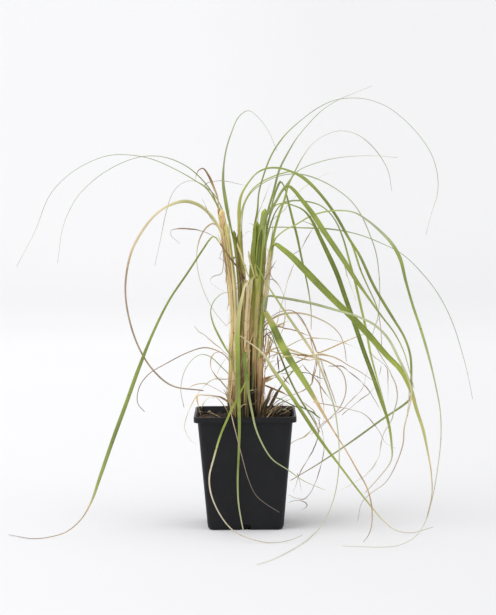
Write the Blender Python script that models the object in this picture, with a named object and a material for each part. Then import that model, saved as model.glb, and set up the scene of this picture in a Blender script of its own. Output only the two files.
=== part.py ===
"""Potted ornamental grass clump: a square nursery pot, its soil, the tillers and their leaves.

Metres, +Z up, origin at the middle of the pot's underside, -Y is the front. Sizes in the tables are
millimetres. Each leaf and tiller is one solid, and touching pieces keep a gap of 0.3 mm.
"""
import math

import bmesh
import bpy
from mathutils import Quaternion, Vector

MM = 0.001
GAP = 0.3

# Pot
POT_WIDTH = 90.0
POT_HEIGHT = 101.0
BASE_WIDTH = 66.4
LIP_HEIGHT = 5.3
LIP_OVERHANG = 3.4
WALL = 1.2
FLOOR = 1.6
CORNER_RADIUS = 8.0
CORNER_STEPS = 4
DRAIN_WIDTH = 9.0
DRAIN_HEIGHT = 5.0
DRAIN_DEPTH = 6.0
HOLE_RADIUS = 4.0
HOLE_OFFSET = 15.0

# Soil
SOIL_TOP = 93.8
SOIL_BUMP = 1.1
SOCKET_DEPTH = 7.0
SOCKET_GAP = 0.55

# Leaves
LEAF_THICKNESS = 0.55
TIP_WIDTH = 0.7
LEAF_STATION_STEP = 13.0
LEAF_STATIONS_LEAST = 11
FINE_STEPS = 4
FASTEST_TURN = math.radians(1.5)
TURNED_BY = 0.3
FLOOR_CLEARANCE = 0.6
FLOOR_GAP = 0.2
LEAF_RISE = 6.0

# Tillers
TILLER_SIDES = 8
TILLER_STATIONS = 8

# Routes are given as they are seen from this point: x and z are read on the upright plane through
# the pot's axis, and y is how far the piece really runs behind (+) or before (-) that plane.
VIEWPOINT = Vector((3.1, -2012.5, 335.3))

# Which way a blade's flat side looks, away from its base
FRONT = (0.0, -1.0, 0.15)
UP_FRONT = (0.0, -0.7, 0.7)
RIGHT_FRONT = (0.75, -0.6, 0.25)
LEFT_FRONT = (-0.75, -0.6, 0.25)
BACKWARD = (0.2, 0.9, 0.35)

GREEN = ("leaf_green", (0.20, 0.27, 0.05), 0.45)
FRESH = ("leaf_fresh_green", (0.30, 0.38, 0.06), 0.42)
OLIVE = ("leaf_olive", (0.32, 0.29, 0.10), 0.52)
GREY = ("leaf_grey_green", (0.28, 0.31, 0.20), 0.55)
PALE = ("leaf_pale", (0.50, 0.47, 0.24), 0.55)
TAN = ("leaf_tan", (0.52, 0.38, 0.20), 0.65)
BROWN = ("leaf_brown", (0.25, 0.15, 0.08), 0.70)
POT_FINISH = ("pot_black", (0.018, 0.019, 0.021), 0.38)
SOIL_FINISH = ("soil_dark", (0.035, 0.024, 0.017), 0.95)

# name, radius at the soil, radius at the top, finish, route of (x, z, y)
TILLERS = (
    ("tiller_01", 2.2, 2.7, TAN,
     ((-12.8, 118, -5.3), (-11.3, 140, -5), (-10.6, 165, -4.5), (-10.3, 188, -4.5), (-11.8, 210, -5),
      (-14.2, 232, -6), (-17.2, 252, -7), (-19.8, 281, -7))),
    ("tiller_02", 2.0, 1.4, OLIVE,
     ((-10.3, 125, 2), (-9.6, 160, 2), (-9.6, 190, 2), (-11, 215, 3), (-14, 245, 4), (-17, 268, 6))),
    ("tiller_03", 2.0, 1.9, TAN,
     ((-8.5, 120, -10.5), (-8.2, 150, -10.5), (-8, 180, -10), (-8.6, 205, -9.5), (-10.4, 225, -10),
      (-12.6, 243, -11), (-14.5, 256, -11.5), (-16, 268, -12))),
    ("tiller_04", 2.0, 1.4, GREEN,
     ((-4, 120, 7), (-4, 150, 7), (-3.5, 190, 6), (-4, 215, 5), (-6, 240, 4), (-9, 262, 3))),
    ("tiller_05", 1.9, 1.5, GREEN,
     ((-1.6, 130, -3), (-0.6, 165, -2.5), (0.3, 200, -1.5), (-1, 225, -1), (-3, 245, -1), (-4, 262, -1))),
    ("tiller_06", 2.4, 1.8, TAN,
     ((1.5, 130, -11), (2, 160, -11), (2.5, 185, -11), (4.3, 205, -10.5), (5.5, 218, -10.5))),
    ("tiller_07", 2.0, 2.5, GREEN,
     ((5, 130, 6), (6, 165, 5), (7.5, 200, 4), (9, 230, 3.5), (10, 255, 3.5), (11.5, 270, 3.5))),
    ("tiller_08", 2.1, 3.0, GREEN,
     ((8.5, 130, -5), (9.2, 160, -6), (10.5, 190, -6), (12, 215, -6), (13.3, 240, -6), (15.8, 260, -6),
      (19, 281, -6.5))),
    ("tiller_09", 1.9, 1.4, GREEN,
     ((9.8, 130, 12), (11, 165, 11), (13, 200, 10), (16, 240, 9), (19, 268, 9))),
    ("tiller_10", 2.0, 1.9, FRESH,
     ((12.3, 130, 1.5), (12.6, 165, 1), (14.4, 200, 0.5), (16.3, 235, 0), (18, 262, 0))),
    ("tiller_11", 2.0, 1.5, PALE,
     ((13, 125, -9), (13.3, 155, -9), (14.2, 172, -9), (16, 186, -9), (18.2, 200, -9), (19.6, 212, -9),
      (21.5, 230, -9), (24, 248, -9))),
    ("tiller_12", 2.0, 1.5, OLIVE,
     ((13.5, 130, 7), (13.2, 155, 7), (14.3, 178, 6.5), (16.8, 202, 6))),
    ("stub_01", 2.3, 2.1, BROWN, ((13.3, 115, -14.5), (14.6, 149, -14.5))),
    ("stub_02", 1.5, 1.2, BROWN, ((22.8, 106, -4), (28.4, 117.5, -4))),
    ("stub_03", 1.3, 1.0, BROWN, ((18.2, 106, -17), (23.5, 121, -20))),
)

# Where each tiller leaves the soil, in plan
ROOTS = {
    "tiller_01": (-13.3, -5.4), "tiller_02": (-11.0, 2.0), "tiller_03": (-8.5, -10.5),
    "tiller_04": (-4.0, 7.0), "tiller_05": (-2.0, -3.0), "tiller_06": (1.0, -10.5),
    "tiller_07": (4.0, 6.0), "tiller_08": (8.0, -4.5), "tiller_09": (9.0, 12.5),
    "tiller_10": (12.3, 2.3), "tiller_11": (13.0, -8.3), "tiller_12": (15.5, 7.5),
    "stub_01": (12.5, -14.5), "stub_02": (20.3, -3.2), "stub_03": (17.3, -15.8),
}

# name, tiller, height of its base, bearing round the tiller in degrees (0 is +X, -90 the front),
# finish, which way it faces, widths as (share of its length, width), route of (x, z, y)
LEAVES = (
    ("leaf_left_far", "tiller_02", 258, 110, GREEN, UP_FRONT,
     ((0, 1.8), (0.08, 2.3), (0.15, 1.1), (0.3, 0.95), (0.5, 0.9), (0.7, 0.6), (1, 0.35)),
     ((-20.5, 277, 9), (-25.5, 288, 11), (-33, 299, 14), (-45, 307.5, 19), (-60, 316, 26), (-80, 325, 36),
      (-100, 329, 48), (-120, 328.5, 60), (-140, 321, 70), (-158, 309, 78), (-172, 293, 84),
      (-185, 262, 88), (-201, 232, 90))),
    ("leaf_left_high", "tiller_02", 254, 190, GREEN, UP_FRONT,
     ((0, 1.6), (0.08, 2), (0.2, 1.6), (0.35, 1.2), (0.5, 0.7), (0.75, 0.5), (1, 0.3)),
     ((-22.5, 280, 0.5), (-28, 295, 1), (-36, 306, 0), (-50, 318.5, -6), (-70, 327, -16), (-90, 327.5, -27),
      (-110, 321, -38), (-130, 309, -48), (-148, 291, -56), (-160, 266, -62), (-165, 235, -65))),
    ("leaf_left_back", "tiller_02", 250, 60, GREY, UP_FRONT,
     ((0, 1.2), (0.15, 1.2), (0.3, 0.6), (0.5, 0.8), (0.65, 1), (0.85, 0.5), (1, 0.3)),
     ((-17, 274, 13), (-22, 287, 22), (-33, 300.5, 38), (-45, 306, 54), (-55, 303.5, 68),
      (-63, 295, 80), (-69, 277, 92), (-74, 254, 101), (-79, 232, 108))),
    ("leaf_tan_arch", "tiller_01", 254, 235, TAN, FRONT,
     ((0, 2.2), (0.05, 3.2), (0.14, 3.6), (0.2, 3.2), (0.26, 2), (0.4, 2.2), (0.55, 1.6), (0.85, 1.5),
      (1, 1)),
     ((-25, 269, -11), (-31, 277, -12.5), (-40, 284.5, -15), (-52, 288, -18), (-66, 284.5, -23),
      (-78, 276.5, -27), (-90, 262, -32), (-100, 243, -36), (-105.3, 215, -38), (-103.5, 190, -38),
      (-95, 161, -37), (-82, 139, -36), (-65, 124.5, -34), (-38, 120, -30))),
    ("leaf_brown_hook", "tiller_01", 271, 150, BROWN, FRONT,
     ((0, 1.2), (0.3, 1.3), (0.6, 2.4), (0.8, 1.2), (1, 0.4)),
     ((-23, 290, -6), (-26.5, 300, -7), (-31, 310.5, -8), (-36, 317, -8), (-40, 315, -8), (-42.5, 309, -8))),
    ("leaf_left_floor", "tiller_05", 212, -100, GREEN, FRONT,
     ((0, 2), (0.05, 1.8), (0.1, 1.1), (0.16, 1.7), (0.3, 1.9), (0.4, 2.4), (0.47, 3.5), (0.6, 3.8),
      (0.7, 3.4), (0.76, 2.2), (0.8, 1), (1, 0.4)),
     ((-3.5, 226, -11), (-9, 233, -13.5), (-15, 241, -13.5), (-21, 250, -14), (-26.5, 257, -15),
      (-30, 254.5, -16), (-36, 246, -18), (-50, 225, -23), (-67, 200, -29), (-82, 170, -36),
      (-95, 138, -43), (-106, 108, -49), (-118, 76, -55), (-130, 42, -60), (-138, 20, -63),
      (-147, 5, -65), (-160, -6, -67), (-175, -10.6, -69), (-190, -12, -74), (-211, -8.5, -56))),
    ("leaf_tan_loop", "tiller_02", 244, 215, TAN, RIGHT_FRONT,
     ((0, 1), (0.15, 1.6), (0.38, 1.5), (0.48, 0.9), (1, 0.5)),
     ((-22.5, 264, -1.5), (-27, 268.3, -1), (-33, 265, -0.5), (-39, 255, 0), (-42, 240, 1), (-40.5, 224, 2),
      (-35, 206, 3), (-25.5, 188.5, 3), (-16.5, 178, 2))),
    ("leaf_top_arch", "tiller_04", 250, 150, GREEN, UP_FRONT,
     ((0, 2.4), (0.1, 3.2), (0.2, 3.8), (0.3, 2.6), (0.4, 1.4), (0.6, 1), (0.8, 0.7), (1, 0.4)),
     ((-13.8, 273, 6), (-16.4, 289, 9.5), (-18.2, 307, 13), (-16, 330, 18), (-11, 347, 26), (-4, 362, 35),
      (4.5, 367.5, 43), (13.5, 361, 52), (22, 349.5, 59), (29, 333, 65))),
    ("leaf_low_loop", "tiller_03", 134, 195, GREEN, FRONT,
     ((0, 2), (0.35, 2.6), (0.5, 1.8), (0.7, 1), (1, 0.6)),
     ((-13, 150.5, -13), (-17, 157, -14), (-23, 168.5, -15), (-28, 180, -15), (-30, 191, -15),
      (-27, 199.5, -14.5), (-20, 206, -13), (-13, 207.5, -12.5))),
    ("leaf_brown_left", "tiller_02", 132, 155, BROWN, UP_FRONT,
     ((0, 1.3), (0.3, 1.5), (0.8, 1.1), (1, 0.6)),
     ((-15, 148, 6), (-22, 154, 10), (-35, 158, 17), (-50, 154, 26), (-70, 144, 38), (-85, 135, 48),
      (-93.5, 124, 54), (-95.5, 109, 60), (-90, 102, 62))),
    ("leaf_curl_left", "tiller_02", 122, 100, GREY, UP_FRONT,
     ((0, 1), (0.5, 1.3), (0.8, 0.9), (1, 0.7)),
     ((-15, 135, 11), (-20, 140, 19), (-30, 149.5, 32), (-38, 152, 44), (-46, 148, 56), (-54, 136, 68),
      (-57, 120, 78), (-54.5, 106, 84))),
    ("leaf_front_broad", "tiller_06", 205, -115, FRESH, FRONT,
     ((0, 2.5), (0.1, 3), (0.2, 4.2), (0.35, 4.4), (0.5, 3.6), (0.6, 2.8), (0.7, 2), (0.85, 1.5),
      (1, 0.9)),
     ((4, 216.5, -15.5), (1, 213.5, -17), (-1.5, 204, -19), (-4.5, 190, -21), (-6.2, 172, -24),
      (-6.3, 150, -28), (-6, 126, -37), (-5.5, 104, -48.5), (-5.2, 85, -50.5), (-6, 62, -51),
      (-7, 40, -52), (-6.5, 20, -53), (-4, 3, -54), (-2.5, -4.5, -55))),
    ("leaf_front_left", "tiller_06", 124, -55, GREEN, FRONT,
     ((0, 2), (0.15, 2.4), (0.3, 2), (0.42, 1.6), (0.6, 1.2), (1, 0.5)),
     ((4.2, 136, -17.5), (1, 127.5, -22), (-5, 116, -32), (-11, 105, -47), (-16, 94, -53), (-22, 80, -57),
      (-28, 60, -62), (-32.3, 42, -67), (-30.5, 26, -73), (-22, 7, -82), (-11, -6, -90), (3, -13, -97),
      (22, -17, -101), (40, -14.5, -95), (50, -10.5, -90))),
    ("leaf_front_tan", "tiller_03", 126, -110, TAN, RIGHT_FRONT,
     ((0, 1.4), (0.4, 1.5), (0.7, 1), (1, 0.6)),
     ((-10, 137.5, -15.5), (-12, 123.5, -23), (-13.3, 110, -35), (-12.3, 98, -49), (-8, 80, -57),
      (-3, 60, -60), (2.5, 40, -61), (9, 26, -62), (18, 18, -63), (29, 11, -64))),
    ("leaf_front_right", "tiller_06", 142, -120, GREEN, FRONT,
     ((0, 4), (0.12, 4.6), (0.22, 3.2), (0.35, 2.2), (0.5, 1.6), (0.7, 1.1), (1, 0.5)),
     ((-0.4, 155, -16.5), (-0.4, 146, -22), (2, 127, -29), (4, 112, -40), (6.5, 99, -50), (9, 87, -54),
      (15, 72, -57), (24, 58, -60), (37, 49, -63), (52, 38.5, -66), (70, 30.5, -70))),
    ("leaf_broad_right", "tiller_11", 238, -36, FRESH, BACKWARD,
     ((0, 3), (0.015, 4.8), (0.04, 5.8), (0.12, 6.4), (0.2, 7), (0.42, 6.8), (0.5, 5.6), (0.58, 5),
      (0.66, 3.4), (0.74, 2.8), (0.8, 1.8), (0.88, 1), (1, 0.5)),
     ((25.6, 246.4, -12.2), (26.8, 248.8, -13.8), (28.6, 248.6, -16.2), (31.2, 246.6, -17.8),
      (36, 243, -19.4), (42, 238, -20.7), (52, 228, -24), (66, 214, -28), (80, 200, -32), (95, 185.5, -36),
      (110, 169.5, -40), (125, 152, -44), (139, 137, -48), (147, 121, -51),
      (152.5, 102, -53), (158, 85, -55), (162, 66, -56), (165.5, 45, -57), (166, 25, -57), (161, 3, -57))),
    ("leaf_top_right", "tiller_07", 256, 135, GREEN, UP_FRONT,
     ((0, 3.2), (0.05, 2.6), (0.1, 1.5), (0.25, 1.4), (0.35, 0.8), (0.6, 0.75), (0.85, 0.6), (1, 0.3)),
     ((11.8, 280, 7), (13.2, 295, 9), (18, 312, 14), (25, 329, 22), (36, 345, 32), (50, 358, 44),
      (65, 369, 56), (80, 376, 66), (95, 378, 76), (110, 376.5, 86), (126, 370.5, 95), (141, 359.5, 103),
      (156, 343.5, 110), (166, 327.5, 116), (171, 310, 120), (171, 293, 122), (166, 277, 123),
      (161, 258, 124))),
    ("leaf_top_back", "tiller_09", 256, 100, GREEN, UP_FRONT,
     ((0, 1.8), (0.25, 2.2), (0.38, 1.8), (0.5, 0.9), (0.7, 0.7), (1, 0.35)),
     ((21.5, 280, 15), (26, 295, 21), (31.5, 315, 31), (38.5, 329, 42), (47, 343, 55), (57, 355, 69),
      (69, 367, 85), (83, 376, 99), (97, 382, 112), (112, 388, 124))),
    ("leaf_back_level", "tiller_09", 250, 40, GREY, UP_FRONT,
     ((0, 1.5), (0.2, 1.8), (0.35, 1.2), (0.6, 1.2), (0.75, 0.6), (1, 0.4)),
     ((23.5, 275, 17), (30, 290, 30), (38, 302.5, 44), (48, 314, 60), (61, 320, 78), (80, 325, 98),
      (100, 327, 116), (118, 327, 130), (135, 325.5, 142))),
    ("leaf_high_bow", "tiller_11", 238, 85, GREEN, UP_FRONT,
     ((0, 2.2), (0.05, 2.6), (0.2, 2.4), (0.4, 1.5), (0.5, 0.9), (0.65, 0.8), (0.8, 1), (1, 0.3)),
     ((27.2, 262, -5), (31, 275, -4), (36, 289, -2.5), (39.5, 302, -4), (45, 313, -9), (52, 326, -17),
      (61, 338, -27), (72, 345.5, -37), (86, 349.3, -48), (100, 346, -57), (112, 337, -64),
      (122, 324.5, -69), (128, 312, -72), (130.5, 297, -74))),
    ("leaf_long_fold", "tiller_05", 248, -130, GREEN, UP_FRONT,
     ((0, 4.2), (0.06, 4.6), (0.1, 2.4), (0.14, 1.4), (0.18, 3), (0.25, 3.6), (0.4, 2.9), (0.55, 3.2),
      (0.62, 2.2), (0.8, 2.2), (0.9, 1.6), (1, 0.8)),
     ((-4.8, 268, -4.5), (-4.6, 282, -4.5), (-2.5, 293, -4), (3.5, 303.5, -2.5), (12, 313, 1),
      (21, 317, 6), (31, 317.3, 12), (40, 315, 17), (50, 310, 21), (62, 300, 25), (72, 288.5, 28),
      (82, 274, 31), (92, 256, 33), (102, 240, 36), (115, 212, 40), (130, 186.5, 43), (142, 166, 46),
      (147, 150, 48), (147.8, 130, 49), (147, 112, 50), (142, 107, 50), (122, 93.5, 50), (95, 74, 50),
      (66, 54.5, 49), (41, 39.5, 48))),
    ("leaf_inner_bow", "tiller_04", 246, 35, FRESH, UP_FRONT,
     ((0, 1.6), (0.3, 1.5), (0.45, 2), (0.6, 1.5), (0.7, 2), (0.8, 1.5), (1, 0.6)),
     ((-3.2, 270, 7), (-0.5, 284, 9), (6, 296, 12), (15, 304, 20), (25, 309, 28), (34, 312, 34),
      (43, 313.5, 38), (54, 308, 41), (66, 296, 42), (78, 280.5, 42.5), (88, 263.5, 43), (96, 247, 44),
      (103, 226, 45), (110, 210, 46), (117, 194, 47), (120.5, 176, 48), (121.5, 160, 48))),
    ("leaf_grey_bow", "tiller_05", 250, 50, GREY, UP_FRONT,
     ((0, 1.1), (0.25, 1), (0.4, 2), (0.5, 1.3), (0.65, 1.2), (0.8, 0.8), (1, 0.5)),
     ((-1.8, 270, 1.5), (0.4, 284, 2.5), (6, 294.5, 3.5), (14, 301.5, 5.5), (25, 307.5, 13), (38, 311, 25),
      (52, 310.8, 37), (68, 305.5, 46), (83, 297, 53), (95, 287, 58), (104, 274, 62), (111, 258, 65),
      (116.5, 242, 67), (119.3, 222, 68), (119.7, 200, 69), (117, 180, 69), (112.5, 167, 69))),
    ("leaf_far_right", "tiller_10", 250, 75, GREEN, UP_FRONT,
     ((0, 1.6), (0.05, 1.4), (0.14, 1.6), (0.24, 2.4), (0.32, 1.6), (0.45, 1), (0.65, 0.8), (1, 0.4)),
     ((21, 263.5, 5.5), (30, 264.5, 11), (45, 264, 20), (62, 263.3, 31), (80, 262, 44), (100, 258, 55),
      (120, 250.5, 64), (140, 240, 72), (158, 222.5, 79), (172, 204, 84), (184, 180, 88), (193, 152, 91),
      (199, 128, 92), (202, 112, 92))),
    ("leaf_floor_right", "tiller_11", 245, 20, GREEN, FRONT,
     ((0, 2.2), (0.04, 2.8), (0.1, 2.4), (0.18, 1.4), (0.24, 2), (0.33, 3.6), (0.4, 2.2), (0.5, 2.4),
      (0.57, 1.3), (0.7, 0.8), (1, 0.4)),
     ((28.5, 255, -8.5), (36, 261.5, -7), (46, 266.5, -4), (58, 273.5, -1), (70, 277.5, -2),
      (85, 279, -8), (98, 277, -17), (110, 269.5, -28), (121, 260, -39), (131, 249, -49),
      (138, 236, -56), (143, 216, -64), (149, 195, -69), (156, 174, -75), (163, 150, -81),
      (169, 125, -87), (173.5, 100, -92), (174, 75, -97), (171, 48, -102), (167, 25, -107),
      (161, 3, -113), (152, -11.5, -118), (138, -19.5, -122), (118, -21.8, -125), (100, -21, -121),
      (87, -20.4, -118))),
    ("leaf_back_drop", "tiller_10", 248, 20, GREEN, FRONT,
     ((0, 1.4), (0.1, 1.8), (0.2, 2.4), (0.45, 2.5), (0.62, 2.1), (0.75, 1.5), (0.9, 1), (1, 0.6)),
     ((22.5, 274, 4), (26, 288, 9), (29.5, 299, 14), (32.7, 305, 19), (36, 300.5, 24), (39.5, 287, 29),
      (43, 272, 34), (47, 256, 39), (50, 241, 44), (53.5, 225, 49), (57, 207, 54), (59, 190, 58),
      (59, 175, 61))),
    ("leaf_wide_fall", "tiller_08", 252, -70, GREEN, FRONT,
     ((0, 4.6), (0.06, 3.6), (0.11, 2.8), (0.17, 2.2), (0.21, 2.6), (0.28, 3.8), (0.36, 5.2), (0.5, 5),
      (0.58, 4), (0.65, 2.4), (0.75, 1.5), (1, 0.5)),
     ((17.5, 271, -11), (23, 279.5, -12.5), (28.5, 287.5, -14), (34, 297, -16), (38.7, 301.3, -17),
      (44, 297.5, -18.5), (51, 289, -20.5), (60, 277.5, -22), (70, 262, -24), (80, 247, -26),
      (90, 232, -27), (98, 219, -28), (109, 203, -29), (121, 186, -30), (133, 170, -31),
      (141, 154, -32), (146, 137, -33), (150, 122, -34))),
    ("leaf_dark_fall", "tiller_08", 250, 40, GREEN, FRONT,
     ((0, 3), (0.05, 2), (0.09, 1.3), (0.17, 1.2), (0.21, 2), (0.26, 3.4), (0.34, 4.6), (0.55, 4.2),
      (0.7, 3.8), (0.78, 2.6), (0.84, 2), (0.9, 1), (1, 0.5)),
     ((22, 272, -2.8), (24.6, 280, -3.2), (29, 284.5, -4.6), (36, 285.8, -7), (43, 284, -9),
      (52, 280, -11), (59, 272, -12), (66, 258, -13), (74, 241, -14), (82, 223, -15), (90, 200, -15.5),
      (98, 177, -16), (106, 153, -16), (114, 131, -16.5), (121, 110, -17), (127, 92, -18), (130, 73, -19),
      (130, 57, -20), (120.5, 43, -20), (107, 28, -20))),
    ("leaf_twist_fall", "tiller_10", 244, -40, GREEN, RIGHT_FRONT,
     ((0, 3.2), (0.08, 2.4), (0.16, 1.4), (0.3, 1.4), (0.4, 2.6), (0.5, 3.2), (0.6, 4), (0.8, 3.6),
      (0.9, 2.4), (1, 0.8)),
     ((23.5, 266, 0), (28, 278, 2), (34, 285.5, 4), (43, 288, 5.5), (54, 287.5, 7), (66, 284.5, 8),
      (75, 278, 9), (82, 268.5, 9.5), (88, 254, 10), (93, 236, 11), (99, 214, 12), (104, 192, 12),
      (108, 174, 12), (112, 152, 11), (117, 132, 9), (121, 118, 7), (125, 103, 5))),
    ("leaf_pale_sweep", "tiller_11", 192, -95, PALE, UP_FRONT,
     ((0, 2), (0.08, 2.4), (0.25, 2.8), (0.5, 2.6), (0.6, 1.4), (0.75, 1), (1, 0.4)),
     ((20.5, 203.5, -15.5), (30, 202.5, -18.5), (45, 200, -24), (60, 197, -30), (80, 191.5, -38),
      (100, 185.5, -45), (115, 178, -50), (127, 166, -55), (137, 147, -59), (145, 130, -62),
      (148, 118, -63), (145.5, 102, -63), (141.5, 86, -61), (140.5, 72, -59), (135, 55, -56),
      (125, 37, -52), (111, 26.5, -48), (103.5, 18.5, -45), (100, 3, -43))),
    ("leaf_pale_low", "tiller_03", 156, -95, FRESH, FRONT,
     ((0, 1.1), (0.1, 1.2), (0.145, 1.4), (0.16, 2), (0.19, 3), (0.23, 3.6), (0.45, 3.4), (0.52, 2.6),
      (0.6, 1.8), (0.76, 1.5), (0.84, 0.8), (1, 0.4)),
     ((-5, 168.5, -15.5), (3, 163, -17.5), (10, 158, -19.5), (17, 151, -21), (25, 138, -23),
      (35, 124, -26), (45, 109, -29.5), (52, 98, -32.5), (62, 82.5, -37), (72, 68, -42), (84, 52, -47),
      (98, 33, -51), (112, 15, -54), (122, 3, -56), (133, -6, -57), (148, -8.7, -57), (166, -4, -57))),
    ("leaf_yellow_trail", "tiller_08", 214, -110, FRESH, FRONT,
     ((0, 1.8), (0.1, 2.6), (0.2, 2.8), (0.28, 2), (0.36, 1.4), (0.45, 1), (0.6, 0.75), (1, 0.4)),
     ((9.6, 228.5, -11.5), (9.9, 231.8, -13.5), (12.8, 227.5, -16.5), (19.5, 214.5, -21),
      (30, 198, -27), (42, 180, -31), (54, 163, -33.5),
      (62, 150, -35.5), (68, 137, -37), (74, 121, -38), (79, 105, -40), (82, 87, -42), (83.5, 68, -43),
      (83, 48, -44), (80, 28, -45), (75, 12, -46), (69, 0.5, -48), (62.5, -8, -54), (55, -15, -88),
      (45, -21.5, -124), (34, -27.5, -155), (20, -33.5, -188), (10, -36.5, -204))),
    ("leaf_dark_low", "tiller_11", 181, -80, GREEN, BACKWARD,
     ((0, 3), (0.03, 4.6), (0.06, 6), (0.11, 7), (0.2, 7.1), (0.28, 6.7), (0.37, 5.3), (0.45, 3.2),
      (0.53, 1.6), (0.62, 1.1), (0.75, 1.4), (0.86, 1.2), (1, 0.4)),
     ((17, 188.4, -13.4), (17.3, 190.4, -15.2), (18, 188.8, -17.3), (19.7, 185.8, -18.4),
      (22.3, 181.6, -18.9), (25.3, 176, -19.3), (28.6, 168.5, -20), (33.4, 159.2, -22),
      (41, 146.3, -25.5), (50, 132.6, -31.5), (60, 116, -38.5), (70, 98, -46.5), (80, 81, -54.5),
      (90, 65, -62.5), (100, 47, -71), (108, 32.5, -79), (112.5, 14, -88), (112, -3, -94),
      (109, -11.5, -96.5), (105, -16.4, -97))),
    ("leaf_thin_low", "tiller_12", 164, -35, GREEN, FRONT,
     ((0, 1.3), (0.2, 1.5), (0.4, 1.8), (0.8, 1.8), (1, 0.8)),
     ((19.2, 174.8, 3.5), (22.6, 172.4, 3.5), (25.4, 166, 4), (29, 156, 4.5), (33, 146.5, 5),
      (38, 134, 7), (44, 121, 9.5), (51, 108.5, 12.5), (58, 97.5, 16), (66, 83, 20))),
    ("leaf_brown_stick", "tiller_12", 172, -10, BROWN, UP_FRONT,
     ((0, 1.3), (0.3, 1.7), (0.5, 1.9), (0.7, 1.2), (0.85, 1.4), (1, 0.6)),
     ((22, 184, 6), (33, 190, 9), (42, 190.5, 12), (49, 185, 15), (56, 172.5, 19), (61.5, 160, 22),
      (64.5, 153, 24), (70, 154.5, 26), (85, 161, 29), (98, 166.5, 32), (105, 169, 33))),
    ("leaf_tan_bow", "tiller_12", 166, 60, TAN, UP_FRONT,
     ((0, 1.4), (0.2, 2.4), (0.4, 2.4), (0.55, 2), (0.7, 1.5), (0.85, 0.9), (1, 0.6)),
     ((21, 180.5, 12), (31, 186.5, 17), (43, 188.3, 23), (55, 187, 30), (66, 183, 36), (76, 177.5, 42),
      (84, 169.5, 47), (88.5, 158, 51), (90, 146, 53))),
    ("leaf_tan_hoop", "tiller_12", 138, 5, TAN, UP_FRONT,
     ((0, 1.8), (0.3, 2.3), (0.4, 2.2), (0.5, 1.7), (0.65, 1.2), (0.8, 0.9), (1, 0.5)),
     ((21, 149, 8), (35, 153, 12.5), (46, 151.5, 17), (57, 149.5, 21), (68, 147, 25), (79, 142, 29),
      (86, 136, 32), (89.5, 126, 34), (89, 115, 36), (84, 104, 37), (75, 94, 37), (66, 85.5, 36))),
    ("leaf_behind_long", "tiller_09", 232, 95, GREEN, BACKWARD,
     ((0, 2), (0.2, 3), (0.5, 2.6), (0.8, 1.5), (1, 0.6)),
     ((14.5, 248, 17), (12, 255, 28), (9, 255, 42), (7, 244, 62), (5, 218, 82), (4, 180, 97), (3, 135, 106),
      (0, 92, 110), (-8, 55, 110), (-20, 24, 108))),
    ("leaf_behind_left", "tiller_04", 214, 100, GREEN, BACKWARD,
     ((0, 1.8), (0.2, 2.6), (0.5, 2.2), (0.8, 1.3), (1, 0.6)),
     ((-6, 231, 15), (-8, 238, 25), (-10, 236, 38), (-11, 220, 54), (-10, 190, 67), (-9, 155, 75),
      (-10, 120, 79), (-18, 88, 81), (-31, 62, 82))),
    ("leaf_behind_right", "tiller_12", 182, 105, OLIVE, BACKWARD,
     ((0, 1.6), (0.2, 2.4), (0.5, 2), (0.8, 1.2), (1, 0.6)),
     ((17, 200, 15), (14.5, 208, 24), (12, 208, 36), (10.5, 192, 50), (10, 162, 61), (10, 128, 67),
      (14, 98, 70), (24, 72, 72), (34, 54, 73))),
    ("leaf_tan_far", "tiller_12", 140, 85, TAN, UP_FRONT,
     ((0, 1.4), (0.3, 2.2), (0.5, 1.6), (0.65, 2), (0.8, 1.3), (1, 0.6)),
     ((19.5, 153.5, 15), (32, 158, 24), (44, 154.5, 32), (56, 150.5, 40), (68, 151, 48), (80, 148.5, 56),
      (92, 141.5, 64), (102, 136, 70), (112, 129, 75))),
)


def clear_scene():
    for obj in list(bpy.data.objects):
        bpy.data.objects.remove(obj, do_unlink=True)


def finish_material(finish, metallic=0.0):
    """One Principled material for each named finish."""
    name, colour, roughness = finish
    material = bpy.data.materials.get(name)
    if material is None:
        material = bpy.data.materials.new(name)
        material.use_nodes = True
        shader = material.node_tree.nodes["Principled BSDF"]
        shader.inputs["Base Color"].default_value = (*colour, 1.0)
        shader.inputs["Roughness"].default_value = roughness
        shader.inputs["Metallic"].default_value = metallic
    return material


def add_object(name, bm, finish):
    """Turn a bmesh in millimetres into a named object in metres, with its normals outwards."""
    bmesh.ops.scale(bm, vec=(MM, MM, MM), verts=bm.verts)
    bmesh.ops.recalc_face_normals(bm, faces=bm.faces)
    if bm.calc_volume(signed=True) < 0:
        bmesh.ops.reverse_faces(bm, faces=bm.faces)
    mesh = bpy.data.meshes.new(name)
    bm.to_mesh(mesh)
    bm.free()
    obj = bpy.data.objects.new(name, mesh)
    obj.data.materials.append(finish_material(finish))
    bpy.context.scene.collection.objects.link(obj)
    return obj


def loft(rings):
    """A closed skin through rings of equal point count, capped at both ends."""
    bm = bmesh.new()
    rows = [[bm.verts.new(point) for point in ring] for ring in rings]
    count = len(rows[0])
    for lower, upper in zip(rows, rows[1:]):
        for i in range(count):
            j = (i + 1) % count
            bm.faces.new((lower[i], lower[j], upper[j], upper[i]))
    bm.faces.new(list(reversed(rows[0])))
    bm.faces.new(rows[-1])
    return bm


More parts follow.
